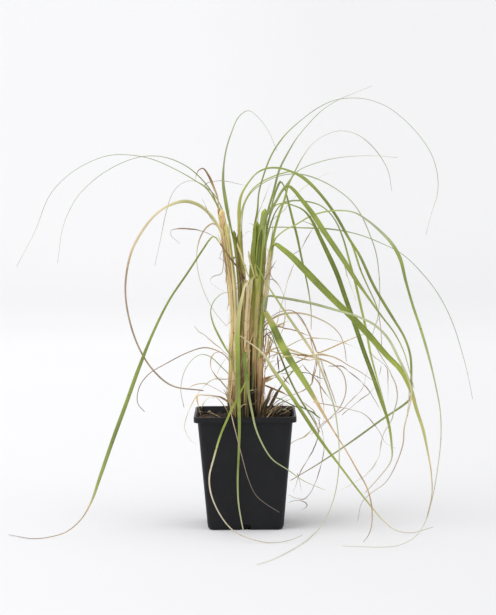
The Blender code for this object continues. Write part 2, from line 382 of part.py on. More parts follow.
def blade_skin(rings):
    """A closed skin of triangles through four-cornered rings. The two flat sides are split along the
    same diagonal, so that they stay apart where the blade twists."""
    bm = bmesh.new()
    rows = [[bm.verts.new(point) for point in ring] for ring in rings]
    for lower, upper in zip(rows, rows[1:]):
        for i, j, rising in ((0, 1, True), (1, 2, True), (2, 3, False), (3, 0, True)):
            if rising:
                bm.faces.new((lower[i], lower[j], upper[j]))
                bm.faces.new((lower[i], upper[j], upper[i]))
            else:
                bm.faces.new((lower[i], lower[j], upper[i]))
                bm.faces.new((lower[j], upper[j], upper[i]))
    bm.faces.new(list(reversed(rows[0])))
    bm.faces.new(rows[-1])
    return bm


def rounded_square(half, radius, z):
    """Points of a rounded square of the given half width, counter-clockwise from above."""
    points = []
    for quarter in range(4):
        turn = math.radians(90 * quarter)
        centre = half - radius
        for step in range(CORNER_STEPS + 1):
            angle = math.radians(90 * step / CORNER_STEPS)
            x = centre + radius * math.cos(angle)
            y = centre + radius * math.sin(angle)
            points.append(Vector((x * math.cos(turn) - y * math.sin(turn),
                                  x * math.sin(turn) + y * math.cos(turn), z)))
    return points


def wall_half(z):
    """Half width of the pot's outer wall at a height below the lip."""
    base = BASE_WIDTH / 2
    top = POT_WIDTH / 2 - LIP_OVERHANG
    return base + (top - base) * z / (POT_HEIGHT - LIP_HEIGHT)


def make_pot():
    half = POT_WIDTH / 2
    lip = POT_HEIGHT - LIP_HEIGHT
    # half width, corner radius, height: up the outside, over the lip and down the inside
    profile = (
        (wall_half(0) - 2.6, 4.0, 0.0),
        (wall_half(1) - 0.9, 5.0, 1.0),
        (wall_half(3.5), 5.6, 3.5),
        (wall_half(lip), 7.0, lip),
        (half - 0.3, CORNER_RADIUS, lip + 0.3),
        (half, CORNER_RADIUS, lip + 1.0),
        (half, CORNER_RADIUS, POT_HEIGHT - 0.8),
        (half - 0.7, CORNER_RADIUS - 0.5, POT_HEIGHT),
        (half - 1.7, CORNER_RADIUS - 1.0, POT_HEIGHT),
        (wall_half(lip) - WALL, 6.0, lip - 1.0),
        (wall_half(3.5) - WALL, 4.6, FLOOR + 1.6),
        (wall_half(3.5) - WALL - 1.2, 4.0, FLOOR),
    )
    bm = loft([rounded_square(*row) for row in profile])
    pot = add_object("pot", bm, POT_FINISH)
    cut_pot(pot)
    return pot


def cut_pot(pot):
    """Drain notches in the middle of each side's lower edge, and four round holes in the floor."""
    bm = bmesh.new()
    reach = BASE_WIDTH / 2
    for quarter in range(4):
        turn = math.radians(90 * quarter)
        corners = []
        for x in (-DRAIN_WIDTH / 2, DRAIN_WIDTH / 2):
            for y in (reach - DRAIN_DEPTH, reach + DRAIN_DEPTH):
                corners.append((x * math.cos(turn) - y * math.sin(turn),
                                x * math.sin(turn) + y * math.cos(turn)))
        outline = [corners[0], corners[1], corners[3], corners[2]]
        add_prism(bm, outline, -2.0, DRAIN_HEIGHT)
        hole_x = HOLE_OFFSET * (math.cos(turn) - math.sin(turn))
        hole_y = HOLE_OFFSET * (math.sin(turn) + math.cos(turn))
        ring = [(hole_x + HOLE_RADIUS * math.cos(math.tau * i / 12),
                 hole_y + HOLE_RADIUS * math.sin(math.tau * i / 12)) for i in range(12)]
        add_prism(bm, ring, -2.0, FLOOR + 2.0)
    cutter = add_object("pot_cutter", bm, POT_FINISH)
    subtract(pot, cutter)


def add_prism(bm, outline, low, high):
    """An upright prism on an outline of (x, y) points."""
    bottom = [bm.verts.new((x, y, low)) for x, y in outline]
    top = [bm.verts.new((x, y, high)) for x, y in outline]
    count = len(outline)
    for i in range(count):
        j = (i + 1) % count
        bm.faces.new((bottom[i], bottom[j], top[j], top[i]))
    bm.faces.new(list(reversed(bottom)))
    bm.faces.new(top)


def subtract(obj, cutter):
    cutter.hide_render = True
    cutter.display_type = "WIRE"
    cutter.hide_set(True)
    boolean = obj.modifiers.new("cut", "BOOLEAN")
    boolean.operation = "DIFFERENCE"
    boolean.solver = "EXACT"
    boolean.object = cutter


def soil_height(x, y):
    """Gentle heaps of the soil's surface."""
    heaps = math.sin(x * 0.11 + 0.6) * math.cos(y * 0.09 - 0.4) + 0.4 * math.sin(x * 0.05 - y * 0.17)
    return SOIL_TOP + SOIL_BUMP * heaps


def make_soil(tillers):
    inside = WALL + GAP
    rings = [
        rounded_square(wall_half(3.5) - inside - 1.3, 3.6, FLOOR + GAP),
        rounded_square(wall_half(3.5) - inside, 4.2, FLOOR + 2.0),
        rounded_square(wall_half(SOIL_TOP) - inside - 0.2, 5.6, SOIL_TOP - 2.0),
    ]
    rim = wall_half(SOIL_TOP) - inside - 0.3
    for share in (1.0, 0.75, 0.5, 0.25, 0.08):
        ring = rounded_square(rim * share, 5.6 * share, 0.0)
        rings.append([Vector((p.x, p.y, soil_height(p.x, p.y))) for p in ring])
    soil = add_object("soil", loft(rings), SOIL_FINISH)
    bm = bmesh.new()
    for tiller in tillers.values():
        add_socket(bm, tiller)
    subtract(soil, add_object("soil_cutter", bm, SOIL_FINISH))
    return soil


def add_socket(bm, tiller):
    """A round hole for one tiller's foot, with a small gap all round."""
    foot = tiller["spine"][0]
    radius = tiller["radius"][0] + SOCKET_GAP
    ring = [(foot.x + radius * math.cos(math.tau * i / 8), foot.y + radius * math.sin(math.tau * i / 8))
            for i in range(8)]
    add_prism(bm, ring, foot.z - GAP, SOIL_TOP + 6.0)


def seen_at(x, z, y):
    """The point at depth y that is seen, from the viewpoint, at x and z on the upright plane."""
    on_plane = Vector((x, 0.0, z))
    share = (y - VIEWPOINT.y) / (0.0 - VIEWPOINT.y)
    point = VIEWPOINT + (on_plane - VIEWPOINT) * share
    point.z = max(point.z, FLOOR_CLEARANCE)
    return point


def smooth(points, stations):
    """Evenly spaced points and tangents of a smooth curve through the given points."""
    fine = []
    ends = [points[0] * 2 - points[1]] + list(points) + [points[-1] * 2 - points[-2]]
    for before, start, end, after in zip(ends, ends[1:], ends[2:], ends[3:]):
        gaps = [max((b - a).length, 0.01) ** 0.5 for a, b in ((before, start), (start, end), (end, after))]
        leave = ((start - before) / gaps[0] - (end - before) / (gaps[0] + gaps[1])
                 + (end - start) / gaps[1]) * gaps[1]
        arrive = ((end - start) / gaps[1] - (after - start) / (gaps[1] + gaps[2])
                  + (after - end) / gaps[2]) * gaps[1]
        for step in range(12):
            t = step / 12
            fine.append(start * (2 * t ** 3 - 3 * t ** 2 + 1) + leave * (t ** 3 - 2 * t ** 2 + t)
                        + end * (3 * t ** 2 - 2 * t ** 3) + arrive * (t ** 3 - t ** 2))
    fine.append(points[-1])
    run = [0.0]
    for a, b in zip(fine, fine[1:]):
        run.append(run[-1] + (b - a).length)
    total = run[-1]
    spine = []
    at = 0
    for i in range(stations):
        target = total * i / (stations - 1)
        while at < len(run) - 2 and run[at + 1] < target:
            at += 1
        share = (target - run[at]) / max(run[at + 1] - run[at], 1e-9)
        spine.append(fine[at].lerp(fine[at + 1], share))
    tangents = []
    for i in range(stations):
        ahead = spine[min(i + 1, stations - 1)]
        behind = spine[max(i - 1, 0)]
        tangents.append((ahead - behind).normalized())
    return spine, tangents, total


def plan_tiller(name, foot_radius, top_radius, finish, route):
    """A tiller's spine and radii, from its foot in the soil to its top."""
    x, y = ROOTS[name]
    foot = Vector((x, y, SOIL_TOP - SOCKET_DEPTH))
    collar = Vector((x, y, SOIL_TOP + 3.0))
    spine, tangents, _ = smooth([foot, collar] + [seen_at(*row) for row in route], TILLER_STATIONS)
    tangents[0] = Vector((0.0, 0.0, 1.0))
    last = TILLER_STATIONS - 1
    radius = [foot_radius + (top_radius - foot_radius) * i / last for i in range(TILLER_STATIONS)]
    return {"name": name, "spine": spine, "tangents": tangents, "radius": radius, "finish": finish}


def make_tiller(tiller):
    rings = []
    for point, tangent, radius in zip(tiller["spine"], tiller["tangents"], tiller["radius"]):
        across = tangent.cross(Vector((0.0, 1.0, 0.0))).normalized()
        other = tangent.cross(across)
        ring = []
        for i in range(TILLER_SIDES):
            angle = math.tau * i / TILLER_SIDES
            ring.append(point + across * radius * math.cos(angle) + other * radius * math.sin(angle))
        rings.append(ring)
    return add_object(tiller["name"], loft(rings), tiller["finish"])


def tiller_at(tiller, z):
    """Axis point and radius of a tiller at a height."""
    spine = tiller["spine"]
    for i in range(len(spine) - 1):
        if spine[i + 1].z >= z or i == len(spine) - 2:
            share = (z - spine[i].z) / (spine[i + 1].z - spine[i].z)
            radius = tiller["radius"][i] + (tiller["radius"][i + 1] - tiller["radius"][i]) * share
            return spine[i].lerp(spine[i + 1], share), radius


def blade_width(share, widths):
    """The width at a share of the length, never less than the tip's."""
    for (low, start), (high, end) in zip(widths, widths[1:]):
        if share <= high:
            return max(start + (end - start) * (share - low) / (high - low), TIP_WIDTH)


def blade_normals(tangents, out, face, step):
    """Normals along a blade: away from the shoot at its base, turning the short way to the facing."""
    carried = out
    before = tangents[0]
    carried_along = []
    for tangent in tangents:
        carried = before.rotation_difference(tangent) @ carried
        carried = (carried - tangent * carried.dot(tangent)).normalized()
        carried_along.append(carried)
        before = tangent
    last = len(tangents) - 1
    settled = round(last * TURNED_BY)
    if angle_about(tangents[settled], carried_along[settled], face) is None:
        settled = last
    first_try = angle_about(tangents[settled], carried_along[settled], face)
    wanted = -face if abs(first_try) > math.pi / 2 else face
    turned = 0.0
    normals = []
    for i, (tangent, carried) in enumerate(zip(tangents, carried_along)):
        target = angle_about(tangent, carried, wanted)
        share = min(i / max(settled, 1), 1.0)
        if target is not None:
            target *= share * share * (3 - 2 * share)
            change = (target - turned + math.pi) % math.tau - math.pi
            most = FASTEST_TURN * step
            turned += max(-most, min(most, change))
        normals.append(Quaternion(tangent, turned) @ carried)
    return normals


def angle_about(axis, start, end):
    """The signed angle about an axis from one direction to another, or None where it is unclear."""
    across = end - axis * end.dot(axis)
    if across.length < 0.2:
        return None
    return math.atan2(axis.dot(start.cross(across)), start.dot(across))


def plan_leaf(tillers, tiller, height, bearing, face, route):
    """Finely spaced points, tangents and normals of a blade, from its tiller's side along its route."""
    angle = math.radians(bearing)
    out = Vector((math.cos(angle), math.sin(angle), 0.0))
    foot_axis, foot_radius = tiller_at(tillers[tiller], height)
    rise_axis, rise_radius = tiller_at(tillers[tiller], height + LEAF_RISE)
    foot = foot_axis + out * (foot_radius + GAP + LEAF_THICKNESS / 2)
    rise = rise_axis + out * (rise_radius + 2 * GAP + LEAF_THICKNESS / 2)
    points = [foot, rise] + [seen_at(*row) for row in route]
    chord = sum((b - a).length for a, b in zip(points, points[1:]))
    stations = max(LEAF_STATIONS_LEAST, round(chord / LEAF_STATION_STEP))
    fine = (stations - 1) * FINE_STEPS + 1
    spine, tangents, length = smooth(points, fine)
    normals = blade_normals(tangents, out, Vector(face).normalized(), length / (fine - 1))
    return spine, tangents, normals


def make_leaf(tillers, name, tiller, height, bearing, finish, face, widths, route):
    """A thin blade with a section at every few points of its plan."""
    plan = plan_leaf(tillers, tiller, height, bearing, face, route)
    spine, tangents, normals = (row[::FINE_STEPS] for row in plan)
    last = len(spine) - 1
    rings = []
    for i, (point, tangent, normal) in enumerate(zip(spine, tangents, normals)):
        across = tangent.cross(normal) * (blade_width(i / last, widths) / 2)
        through = normal * (LEAF_THICKNESS * 0.3)
        ring = [point - across - through, point + across - through,
                point + across + through, point - across + through]
        lift = FLOOR_GAP - min(corner.z for corner in ring)
        if lift > 0:
            for corner in ring:
                corner.z += lift
        rings.append(ring)
    return add_object(name, blade_skin(rings), finish)


def main():
    clear_scene()
    make_pot()
    tillers = {row[0]: plan_tiller(*row) for row in TILLERS}
    make_soil(tillers)
    for tiller in tillers.values():
        make_tiller(tiller)
    for row in LEAVES:
        make_leaf(tillers, *row)


main()
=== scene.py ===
"""Looks for the potted ornamental grass clump: pot, soil and litter, shoots, blades and dead strands.

The tables are in millimetres; everything made from them is in metres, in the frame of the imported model.
"""

import math
import random

import bmesh
import bpy
from bpy.props import FloatProperty, FloatVectorProperty, IntProperty, PointerProperty
from mathutils import Matrix, Quaternion, Vector, noise


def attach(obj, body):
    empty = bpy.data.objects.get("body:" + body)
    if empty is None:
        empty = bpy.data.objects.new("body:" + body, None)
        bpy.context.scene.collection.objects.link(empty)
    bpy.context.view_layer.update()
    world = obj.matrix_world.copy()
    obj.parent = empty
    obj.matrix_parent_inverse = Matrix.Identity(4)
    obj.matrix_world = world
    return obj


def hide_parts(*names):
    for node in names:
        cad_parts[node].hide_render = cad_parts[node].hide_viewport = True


bl_info = {
    "name": "Potted Grass Clump",
    "version": (1, 0, 0),
    "blender": (4, 5, 0),
    "location": "View3D > Sidebar > Grass Clump",
    "description": "Builds a potted ornamental grass clump around its packed model",
    "category": "Object",
}

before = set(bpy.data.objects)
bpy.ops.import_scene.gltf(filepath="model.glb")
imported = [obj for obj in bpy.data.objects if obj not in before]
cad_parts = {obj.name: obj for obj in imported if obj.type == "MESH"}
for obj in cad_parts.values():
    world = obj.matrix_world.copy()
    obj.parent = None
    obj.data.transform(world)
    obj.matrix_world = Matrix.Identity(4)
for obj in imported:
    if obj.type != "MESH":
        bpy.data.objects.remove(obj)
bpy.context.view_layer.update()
BODY = "root"
MM = 0.001
GAP = 0.3

# Pot
POT_WIDTH = 90.0
POT_HEIGHT = 101.0
BASE_WIDTH = 66.4
LIP_HEIGHT = 5.3
LIP_OVERHANG = 3.4
WALL = 1.2
FLOOR = 1.6
DRAIN_WIDTH = 9.0
DRAIN_HEIGHT = 5.0
DRAIN_DEPTH = 6.0
HOLE_RADIUS = 4.0
HOLE_OFFSET = 15.0
HOLE_SIDES = 28
CUT_PAST = 2.0

# Soil
SOIL_TOP = 93.8
SOIL_BUMP = 1.1
SOCKET_DEPTH = 7.0
SOIL_CORNER = 6.0
BACK_HEAP = 4.2
LEFT_HEAP = 2.2

# Blades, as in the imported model
LEAF_THICKNESS = 0.55
LEAF_STATION_STEP = 13.0
LEAF_STATIONS_LEAST = 11
FINE_STEPS = 4
FASTEST_TURN = math.radians(1.5)
TURNED_BY = 0.3
FLOOR_CLEARANCE = 0.6
FLOOR_GAP = 0.25
LEAF_RISE = 6.0
CURVE_STEPS = 12
LEAST_ACROSS = 0.2

# A blade's margins are thinner by a share, and wavy. Its tip is rounded off by two last points, each of
# (distance past the end, share of the width and thickness)
MARGIN_THINNING = 0.55
WAVES_PER_METRE = 55.0
TIP = ((0.8, 0.7), (1.5, 0.35))

# A blade's sheath wraps this angle to each side and ends at least this high above the soil. Above its
# mouth the blade opens flat and narrows over these lengths, and curls no more than one NARROW_BLADE wide.
CLASP = math.pi * 0.86
SHEATH_CLEARANCE = 8.0
OPENS_OVER = 26.0
NARROWS_OVER = 15.0
NARROW_BLADE = 1.6
SHEATH_STEPS = 9
SHEATH_STREAKS = 0.7

# Shoots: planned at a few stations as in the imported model, and at more for their sheaths
TILLER_STATIONS = 8
SHOOT_STATIONS = 64

# A shoot stands straight up to its collar. Its sheath swells and narrows to a point by shares of its
# radius, wraps more than half round to each side, and turns by SHOOT_TWIST per mm.
COLLAR = 3.0
SWELLING = 0.05
SHOOT_POINT = 0.14
SHOOT_WRAP = 1.12
SHOOT_TWIST = 0.006

# Loose strips of old sheath
STRIP_STEPS = 18
STRIP_THICKNESS = 0.11
STRIP_CURL = 0.25
STRIP_STREAKS = 0.6
STRIP_SEED = 19

# Dead strands show a share of the age in their row. The thin ones lose their colour above OUTER_HEIGHT
# and beyond OUTER_RIGHT.
STRAND_SPACING = 3.0
STRAND_POINTS_LEAST = 6
STRAND_AGE = 0.95
STRAND_ROLL = 9.0
STRAND_SEED = 31
OUTER_HEIGHT = 165.0
OUTER_RIGHT = 70.0
OUTER_BLEND = 70.0

# Stage, in metres; the paper curves up into a wall behind the plant. The camera's sensor is in mm.
STAGE_REACH = 6.0
COVE_START = 3.0
COVE_RADIUS = 1.2
COVE_STEPS = 10
WALL_TOP = 5.0
KEY_PLACE = (-1.6, -0.9, 2.35)
KEY_SIZE = 2.2
FILL_PLACE = (2.3, -1.4, 1.3)
FILL_SIZE = 1.8
LAMP_AIM = Vector((0.0, 0.0, 0.17))
NEAREST_SEEN = 0.05
SENSOR_WIDTH = 36.0

# Routes are given as they are seen from this point: x and z are read on the upright plane through
# the pot's axis, and y is how far the piece really runs behind (+) or before (-) that plane.
VIEWPOINT = Vector((3.1, -2012.5, 335.3))

# Which way a blade's flat side looks, away from its base
FRONT = (0.0, -1.0, 0.15)
UP_FRONT = (0.0, -0.7, 0.7)
RIGHT_FRONT = (0.75, -0.6, 0.25)
BACKWARD = (0.2, 0.9, 0.35)

# How far a blade has aged, from deep green to dead and darkened; the darkened end also serves as painted
# shade at the feet of the shoots
DEEP = 0.0
GREEN = 0.18
FRESH = 0.34
OLIVE = 0.5
STRAW = 0.66
TAN = 0.8
BROWN = 0.92
DARKENED = 1.0

# Colours of a blade that has lost its own, by age, and of its fine marks
FADED = ((DEEP, (0.19, 0.22, 0.13)), (FRESH, (0.39, 0.42, 0.28)), (OLIVE, (0.55, 0.56, 0.40)),
         (STRAW, (0.54, 0.51, 0.43)), (TAN, (0.36, 0.30, 0.24)), (DARKENED, (0.16, 0.13, 0.115)))
SOILED_STREAK = (0.045, 0.032, 0.012, 1.0)
MIDRIB = (0.42, 0.40, 0.20, 1.0)
RUST = (0.20, 0.10, 0.035, 1.0)
PALE_FLECK = (0.22, 0.15, 0.09, 1.0)

# How far a blade has lost its colour, as (share of its length, amount)
CLEAR = ((0, 0.0), (0.6, 0.1), (1, 0.5))
GREYING = ((0, 0.0), (0.2, 0.15), (0.4, 0.7), (1, 0.9))
GREY = ((0, 0.3), (0.25, 0.8), (1, 0.95))
DULL = ((0, 0.2), (0.5, 0.45), (1, 0.6))

# A look is the age along a blade as (share of its length, age), and how far it has lost its colour
LIVING = (((0, 0.42), (0.1, 0.24), (0.3, GREEN), (0.8, 0.22), (0.92, OLIVE), (1, TAN)), GREYING)
CLEAR_BLADE = (((0, 0.44), (0.1, 0.26), (0.3, GREEN), (0.8, 0.24), (0.92, OLIVE), (1, TAN)), CLEAR)
FRESH_BLADE = (((0, 0.52), (0.1, 0.40), (0.3, FRESH), (0.75, 0.36), (0.9, OLIVE), (1, TAN)), CLEAR)
OLIVE_BLADE = (((0, 0.56), (0.2, 0.46), (0.7, OLIVE), (0.9, STRAW), (1, TAN)), CLEAR)
GREY_BLADE = (((0, 0.45), (0.2, 0.25), (0.75, 0.3), (0.92, 0.55), (1, TAN)), GREY)
TAN_BLADE = (((0, 0.62), (0.2, 0.72), (0.7, 0.76), (1, TAN)), DULL)
BROWN_BLADE = (((0, 0.78), (0.3, 0.88), (0.8, BROWN), (1, 0.95)), DULL)
BROWN_HOOK = (((0, 0.74), (0.3, 0.84), (0.7, 0.9), (1, 0.86)), ((0, 0.0), (0.7, 0.1), (1, 0.3)))
TAN_ARCH = (((0, 0.62), (0.05, 0.52), (0.14, 0.49), (0.2, 0.55), (0.32, 0.72), (0.5, 0.82), (1, 0.9)),
            ((0, 0.25), (0.3, 0.45), (0.5, 0.55), (1, 0.65)))
DRYING_FLOOR = (((0, 0.96), (0.118, 0.94), (0.128, 0.4), (0.15, 0.24), (0.3, 0.17), (0.6, 0.16),
                 (0.74, 0.3), (0.8, TAN), (1, 0.93)), CLEAR)
BROAD_RIGHT = (((0, 0.5), (0.014, 0.44), (0.03, 0.2), (0.3, 0.17), (0.42, 0.2), (0.58, 0.34),
                (0.66, 0.5), (0.7, 0.44), (0.8, 0.52), (0.87, 0.74), (1, 0.88)),
               ((0, 0.0), (0.6, 0.0), (0.8, 0.3), (1, 0.5)))
BROAD_FRONT = (((0, 0.6), (0.1, 0.56), (0.2, 0.5), (0.3, 0.3), (0.4, 0.14), (0.75, 0.16), (0.9, 0.36),
                (1, 0.5)), ((0, 0.3), (0.2, 0.25), (0.35, 0.0), (0.75, 0.1), (1, 0.9)))
PALING = (((0, 0.42), (0.15, 0.26), (0.34, GREEN), (0.42, 0.5), (0.5, 0.64), (1, 0.7)),
          ((0, 0.0), (0.34, 0.0), (0.45, 0.7), (1, 0.95)))
DARK_LOW = (((0, 0.3), (0.025, 0.38), (0.04, 0.48), (0.075, 0.46), (0.095, 0.53), (0.11, 0.44),
             (0.12, 0.14), (0.165, 0.08), (0.19, 0.36), (0.205, 0.34), (0.225, 0.12), (0.27, 0.18),
             (0.3, 0.3), (0.37, 0.36), (0.4, 0.44), (0.425, 0.55), (0.44, 0.74), (0.5, 0.8),
             (1, 0.86)), CLEAR)
YELLOW_TRAIL = (((0, 0.38), (0.1, 0.36), (0.17, 0.42), (0.23, 0.52), (0.26, 0.64), (0.3, 0.6), (0.4, 0.42),
                 (1, 0.5)),
                ((0, 0.0), (0.1, 0.1), (0.2, 0.5), (0.26, 0.3), (0.35, 0.8), (1, 0.95)))
HIGH_BOW = (((0, 0.42), (0.1, 0.24), (0.35, 0.28), (0.47, 0.6), (1, 0.78)),
            ((0, 0.0), (0.3, 0.2), (0.47, 0.85), (1, 0.95)))
LONG_FOLD = (((0, 0.52), (0.09, 0.4), (0.15, 0.26), (0.3, GREEN), (0.85, 0.22), (0.95, OLIVE),
              (1, TAN)), CLEAR)
FLOOR_RIGHT = (((0, 0.44), (0.1, 0.3), (0.22, 0.28), (0.4, 0.16), (0.5, 0.24), (0.62, 0.4), (1, 0.6)),
               ((0, 0.0), (0.14, 0.1), (0.2, 0.8), (0.28, 0.7), (0.33, 0.1), (0.45, 0.2), (0.58, 0.75),
                (1, 0.9)))
DARK_FALL = (((0, 0.34), (0.1, 0.22), (0.3, 0.1), (0.7, 0.12), (0.83, 0.35), (0.9, 0.62), (1, 0.84)),
             ((0, 0.0), (0.8, 0.0), (0.9, 0.6), (1, 0.8)))
TWIST_FALL = (((0, 0.4), (0.1, 0.25), (0.45, 0.2), (0.6, 0.3), (1, 0.45)),
              ((0, 0.0), (0.12, 0.5), (0.36, 0.5), (0.5, 0.0), (1, 0.2)))
PALE_SWEEP = (((0, 0.32), (0.3, 0.3), (0.5, 0.46), (0.6, 0.6), (0.7, 0.74), (1, 0.8)),
              ((0, 0.6), (0.4, 0.8), (0.55, 0.6), (1, 0.8)))
BROWN_STICK = (((0, 0.86), (0.4, 0.88), (0.6, 0.8), (0.8, 0.76), (1, 0.8)),
               ((0, 0.4), (0.5, 0.3), (0.65, 0.0), (1, 0.2)))
FRONT_TAN = (((0, 0.62), (0.2, 0.7), (0.5, 0.8), (0.75, 0.92), (1, 1.05)),
             ((0, 0.1), (0.35, 0.3), (0.5, 0.7), (1, 0.95)))
PALE_LOW = (((0, 0.6), (0.15, 0.62), (0.19, 0.52), (0.22, 0.46), (0.27, 0.38), (0.31, 0.3), (0.36, 0.22),
             (0.6, 0.24), (0.75, 0.4), (0.85, 0.6), (1, 0.72)),
            ((0, 0.3), (0.14, 0.5), (0.2, 0.35), (0.3, 0.1), (0.36, 0.0), (0.6, 0.0), (0.85, 0.5),
             (1, 0.8)))
FRONT_RIGHT = (((0, 0.2), (0.2, 0.12), (0.4, 0.22), (0.8, 0.26), (1, 0.5)),
               ((0, 0.0), (0.25, 0.1), (0.45, 0.55), (1, 0.8)))
LOW_LOOP = (((0, 0.5), (0.15, 0.34), (0.5, 0.24), (1, 0.4)),
            ((0, 0.0), (0.55, 0.1), (0.8, 0.8), (1, 0.9)))
LOOP = (((0, 0.84), (0.35, 0.76), (0.5, 0.4), (1, 0.44)),
        ((0, 0.5), (0.4, 0.4), (0.5, 0.85), (1, 0.7)))
WIDE_FALL = (((0, 0.3), (0.1, 0.18), (0.2, 0.24), (0.3, 0.2), (0.8, 0.24), (0.92, OLIVE), (1, TAN)),
             ((0, 0.0), (0.05, 0.35), (0.18, 0.4), (0.23, 0.0), (0.6, 0.1), (1, 0.5)))

# The record's material slot of each look; the other blades are plain green
SLOTS = {FRESH_BLADE: "leaf_fresh_green", BROAD_RIGHT: "leaf_fresh_green", BROAD_FRONT: "leaf_fresh_green",
         PALE_LOW: "leaf_fresh_green", YELLOW_TRAIL: "leaf_fresh_green", OLIVE_BLADE: "leaf_olive",
         GREY_BLADE: "leaf_grey_green", PALE_SWEEP: "leaf_pale", TAN_BLADE: "leaf_tan", TAN_ARCH: "leaf_tan",
         LOOP: "leaf_tan", FRONT_TAN: "leaf_tan", BROWN_BLADE: "leaf_brown", BROWN_HOOK: "leaf_brown",
         BROWN_STICK: "leaf_brown"}

# Age along a shoot, from the soil to its top, and how far it has lost its colour. Ages above DARKENED near
# the soil are painted shade: they darken the shoots' feet, where the shoots shade one another low in the
# clump.
SHOOT_STRAW = (((0, 1.06), (0.12, 0.92), (0.22, 0.76), (0.32, 0.68), (0.8, 0.66), (1, 0.62)), 0.0)
SHOOT_STRAW_TOPPED = (((0, 1.08), (0.12, 0.94), (0.24, 0.74), (0.35, 0.66), (0.75, 0.62), (0.88, 0.54),
                       (1, 0.5)), 0.0)
SHOOT_TAN = (((0, 1.15), (0.2, 1.06), (0.32, 0.9), (0.44, 0.74), (0.7, 0.7), (1, 0.76)), 0.0)
SHOOT_MIDDLE = (((0, 1.15), (0.17, 1.05), (0.28, 0.86), (0.36, 0.64), (0.7, 0.6), (0.8, 0.4),
                 (1, 0.4)), 0.0)
SHOOT_DARK_FOOT = (((0, 1.15), (0.36, 1.06), (0.48, 0.7), (0.62, 0.36), (0.8, 0.26), (1, 0.28)), 0.0)
SHOOT_GREEN = (((0, 1.15), (0.2, 1.05), (0.3, 0.7), (0.36, 0.5), (0.6, 0.46), (0.7, 0.28), (0.76, 0.16),
                (0.9, 0.2), (1, 0.34)), 0.0)
SHOOT_DEEP = (((0, 1.1), (0.15, 0.95), (0.35, 0.58), (0.55, 0.34), (0.75, 0.18), (1, 0.22)), 0.0)
SHOOT_FRESH = (((0, 1.12), (0.18, 1.04), (0.32, 0.6), (0.5, 0.4), (0.8, 0.28), (1, 0.34)), 0.0)
SHOOT_OLIVE = (((0, 0.95), (0.2, 0.74), (0.6, 0.5), (1, 0.42)), 0.0)
SHOOT_CULM = (((0, 1.12), (0.18, 1.02), (0.3, 0.84), (0.38, 0.54), (0.5, 0.36), (0.62, 0.38), (0.75, 0.6),
               (1, 0.62)), 0.25)
SHOOT_BROWN = (((0, 1.12), (0.35, 0.98), (0.65, 0.9), (1, 0.85)), 0.1)
SHOOT_DARK = (((0, 1.12), (0.5, 1.0), (1, 0.94)), 0.1)

# name, where it leaves the soil in plan, radius at the soil, radius at the top, look, route of (x, z, y)
TILLERS = (
    ("tiller_01", (-13.3, -5.4), 2.2, 2.7, SHOOT_STRAW,
     ((-12.8, 118, -5.3), (-11.3, 140, -5), (-10.6, 165, -4.5), (-10.3, 188, -4.5), (-11.8, 210, -5),
      (-14.2, 232, -6), (-17.2, 252, -7), (-19.8, 281, -7))),
    ("tiller_02", (-11.0, 2.0), 2.0, 1.4, SHOOT_OLIVE,
     ((-10.3, 125, 2), (-9.6, 160, 2), (-9.6, 190, 2), (-11, 215, 3), (-14, 245, 4), (-17, 268, 6))),
    ("tiller_03", (-8.5, -10.5), 2.0, 1.9, SHOOT_STRAW_TOPPED,
     ((-8.5, 120, -10.5), (-8.2, 150, -10.5), (-8, 180, -10), (-8.6, 205, -9.5), (-10.4, 225, -10),
      (-12.6, 243, -11), (-14.5, 256, -11.5), (-16, 268, -12))),
    ("tiller_04", (-4.0, 7.0), 2.0, 1.4, SHOOT_DEEP,
     ((-4, 120, 7), (-4, 150, 7), (-3.5, 190, 6), (-4, 215, 5), (-6, 240, 4), (-9, 262, 3))),
    ("tiller_05", (-2.0, -3.0), 1.9, 1.5, SHOOT_MIDDLE,
     ((-1.6, 130, -3), (-0.6, 165, -2.5), (0.3, 200, -1.5), (-1, 225, -1), (-3, 245, -1), (-4, 262, -1))),
    ("tiller_06", (1.0, -10.5), 2.4, 1.8, SHOOT_TAN,
     ((1.5, 130, -11), (2, 160, -11), (2.5, 185, -11), (4.3, 205, -10.5), (5.5, 218, -10.5))),
    ("tiller_07", (4.0, 6.0), 2.0, 2.5, SHOOT_DARK_FOOT,
     ((5, 130, 6), (6, 165, 5), (7.5, 200, 4), (9, 230, 3.5), (10, 255, 3.5), (11.5, 270, 3.5))),
    ("tiller_08", (8.0, -4.5), 2.1, 3.0, SHOOT_GREEN,
     ((8.5, 130, -5), (9.2, 160, -6), (10.5, 190, -6), (12, 215, -6), (13.3, 240, -6), (15.8, 260, -6),
      (19, 281, -6.5))),
    ("tiller_09", (9.0, 12.5), 1.9, 1.4, SHOOT_DEEP,
     ((9.8, 130, 12), (11, 165, 11), (13, 200, 10), (16, 240, 9), (19, 268, 9))),
    ("tiller_10", (12.3, 2.3), 2.0, 1.9, SHOOT_FRESH,
     ((12.3, 130, 1.5), (12.6, 165, 1), (14.4, 200, 0.5), (16.3, 235, 0), (18, 262, 0))),
    ("tiller_11", (13.0, -8.3), 2.0, 1.5, SHOOT_CULM,
     ((13, 125, -9), (13.3, 155, -9), (14.2, 172, -9), (16, 186, -9), (18.2, 200, -9), (19.6, 212, -9),
      (21.5, 230, -9), (24, 248, -9))),
    ("tiller_12", (15.5, 7.5), 2.0, 1.5, SHOOT_OLIVE,
     ((13.5, 130, 7), (13.2, 155, 7), (14.3, 178, 6.5), (16.8, 202, 6))),
    ("stub_01", (12.5, -14.5), 2.3, 2.1, SHOOT_BROWN, ((13.3, 115, -14.5), (14.6, 149, -14.5))),
    ("stub_02", (20.3, -3.2), 1.5, 1.2, SHOOT_DARK, ((22.8, 106, -4), (28.4, 117.5, -4))),
    ("stub_03", (17.3, -15.8), 1.3, 1.0, SHOOT_DARK, ((18.2, 106, -17), (23.5, 121, -20))),
)

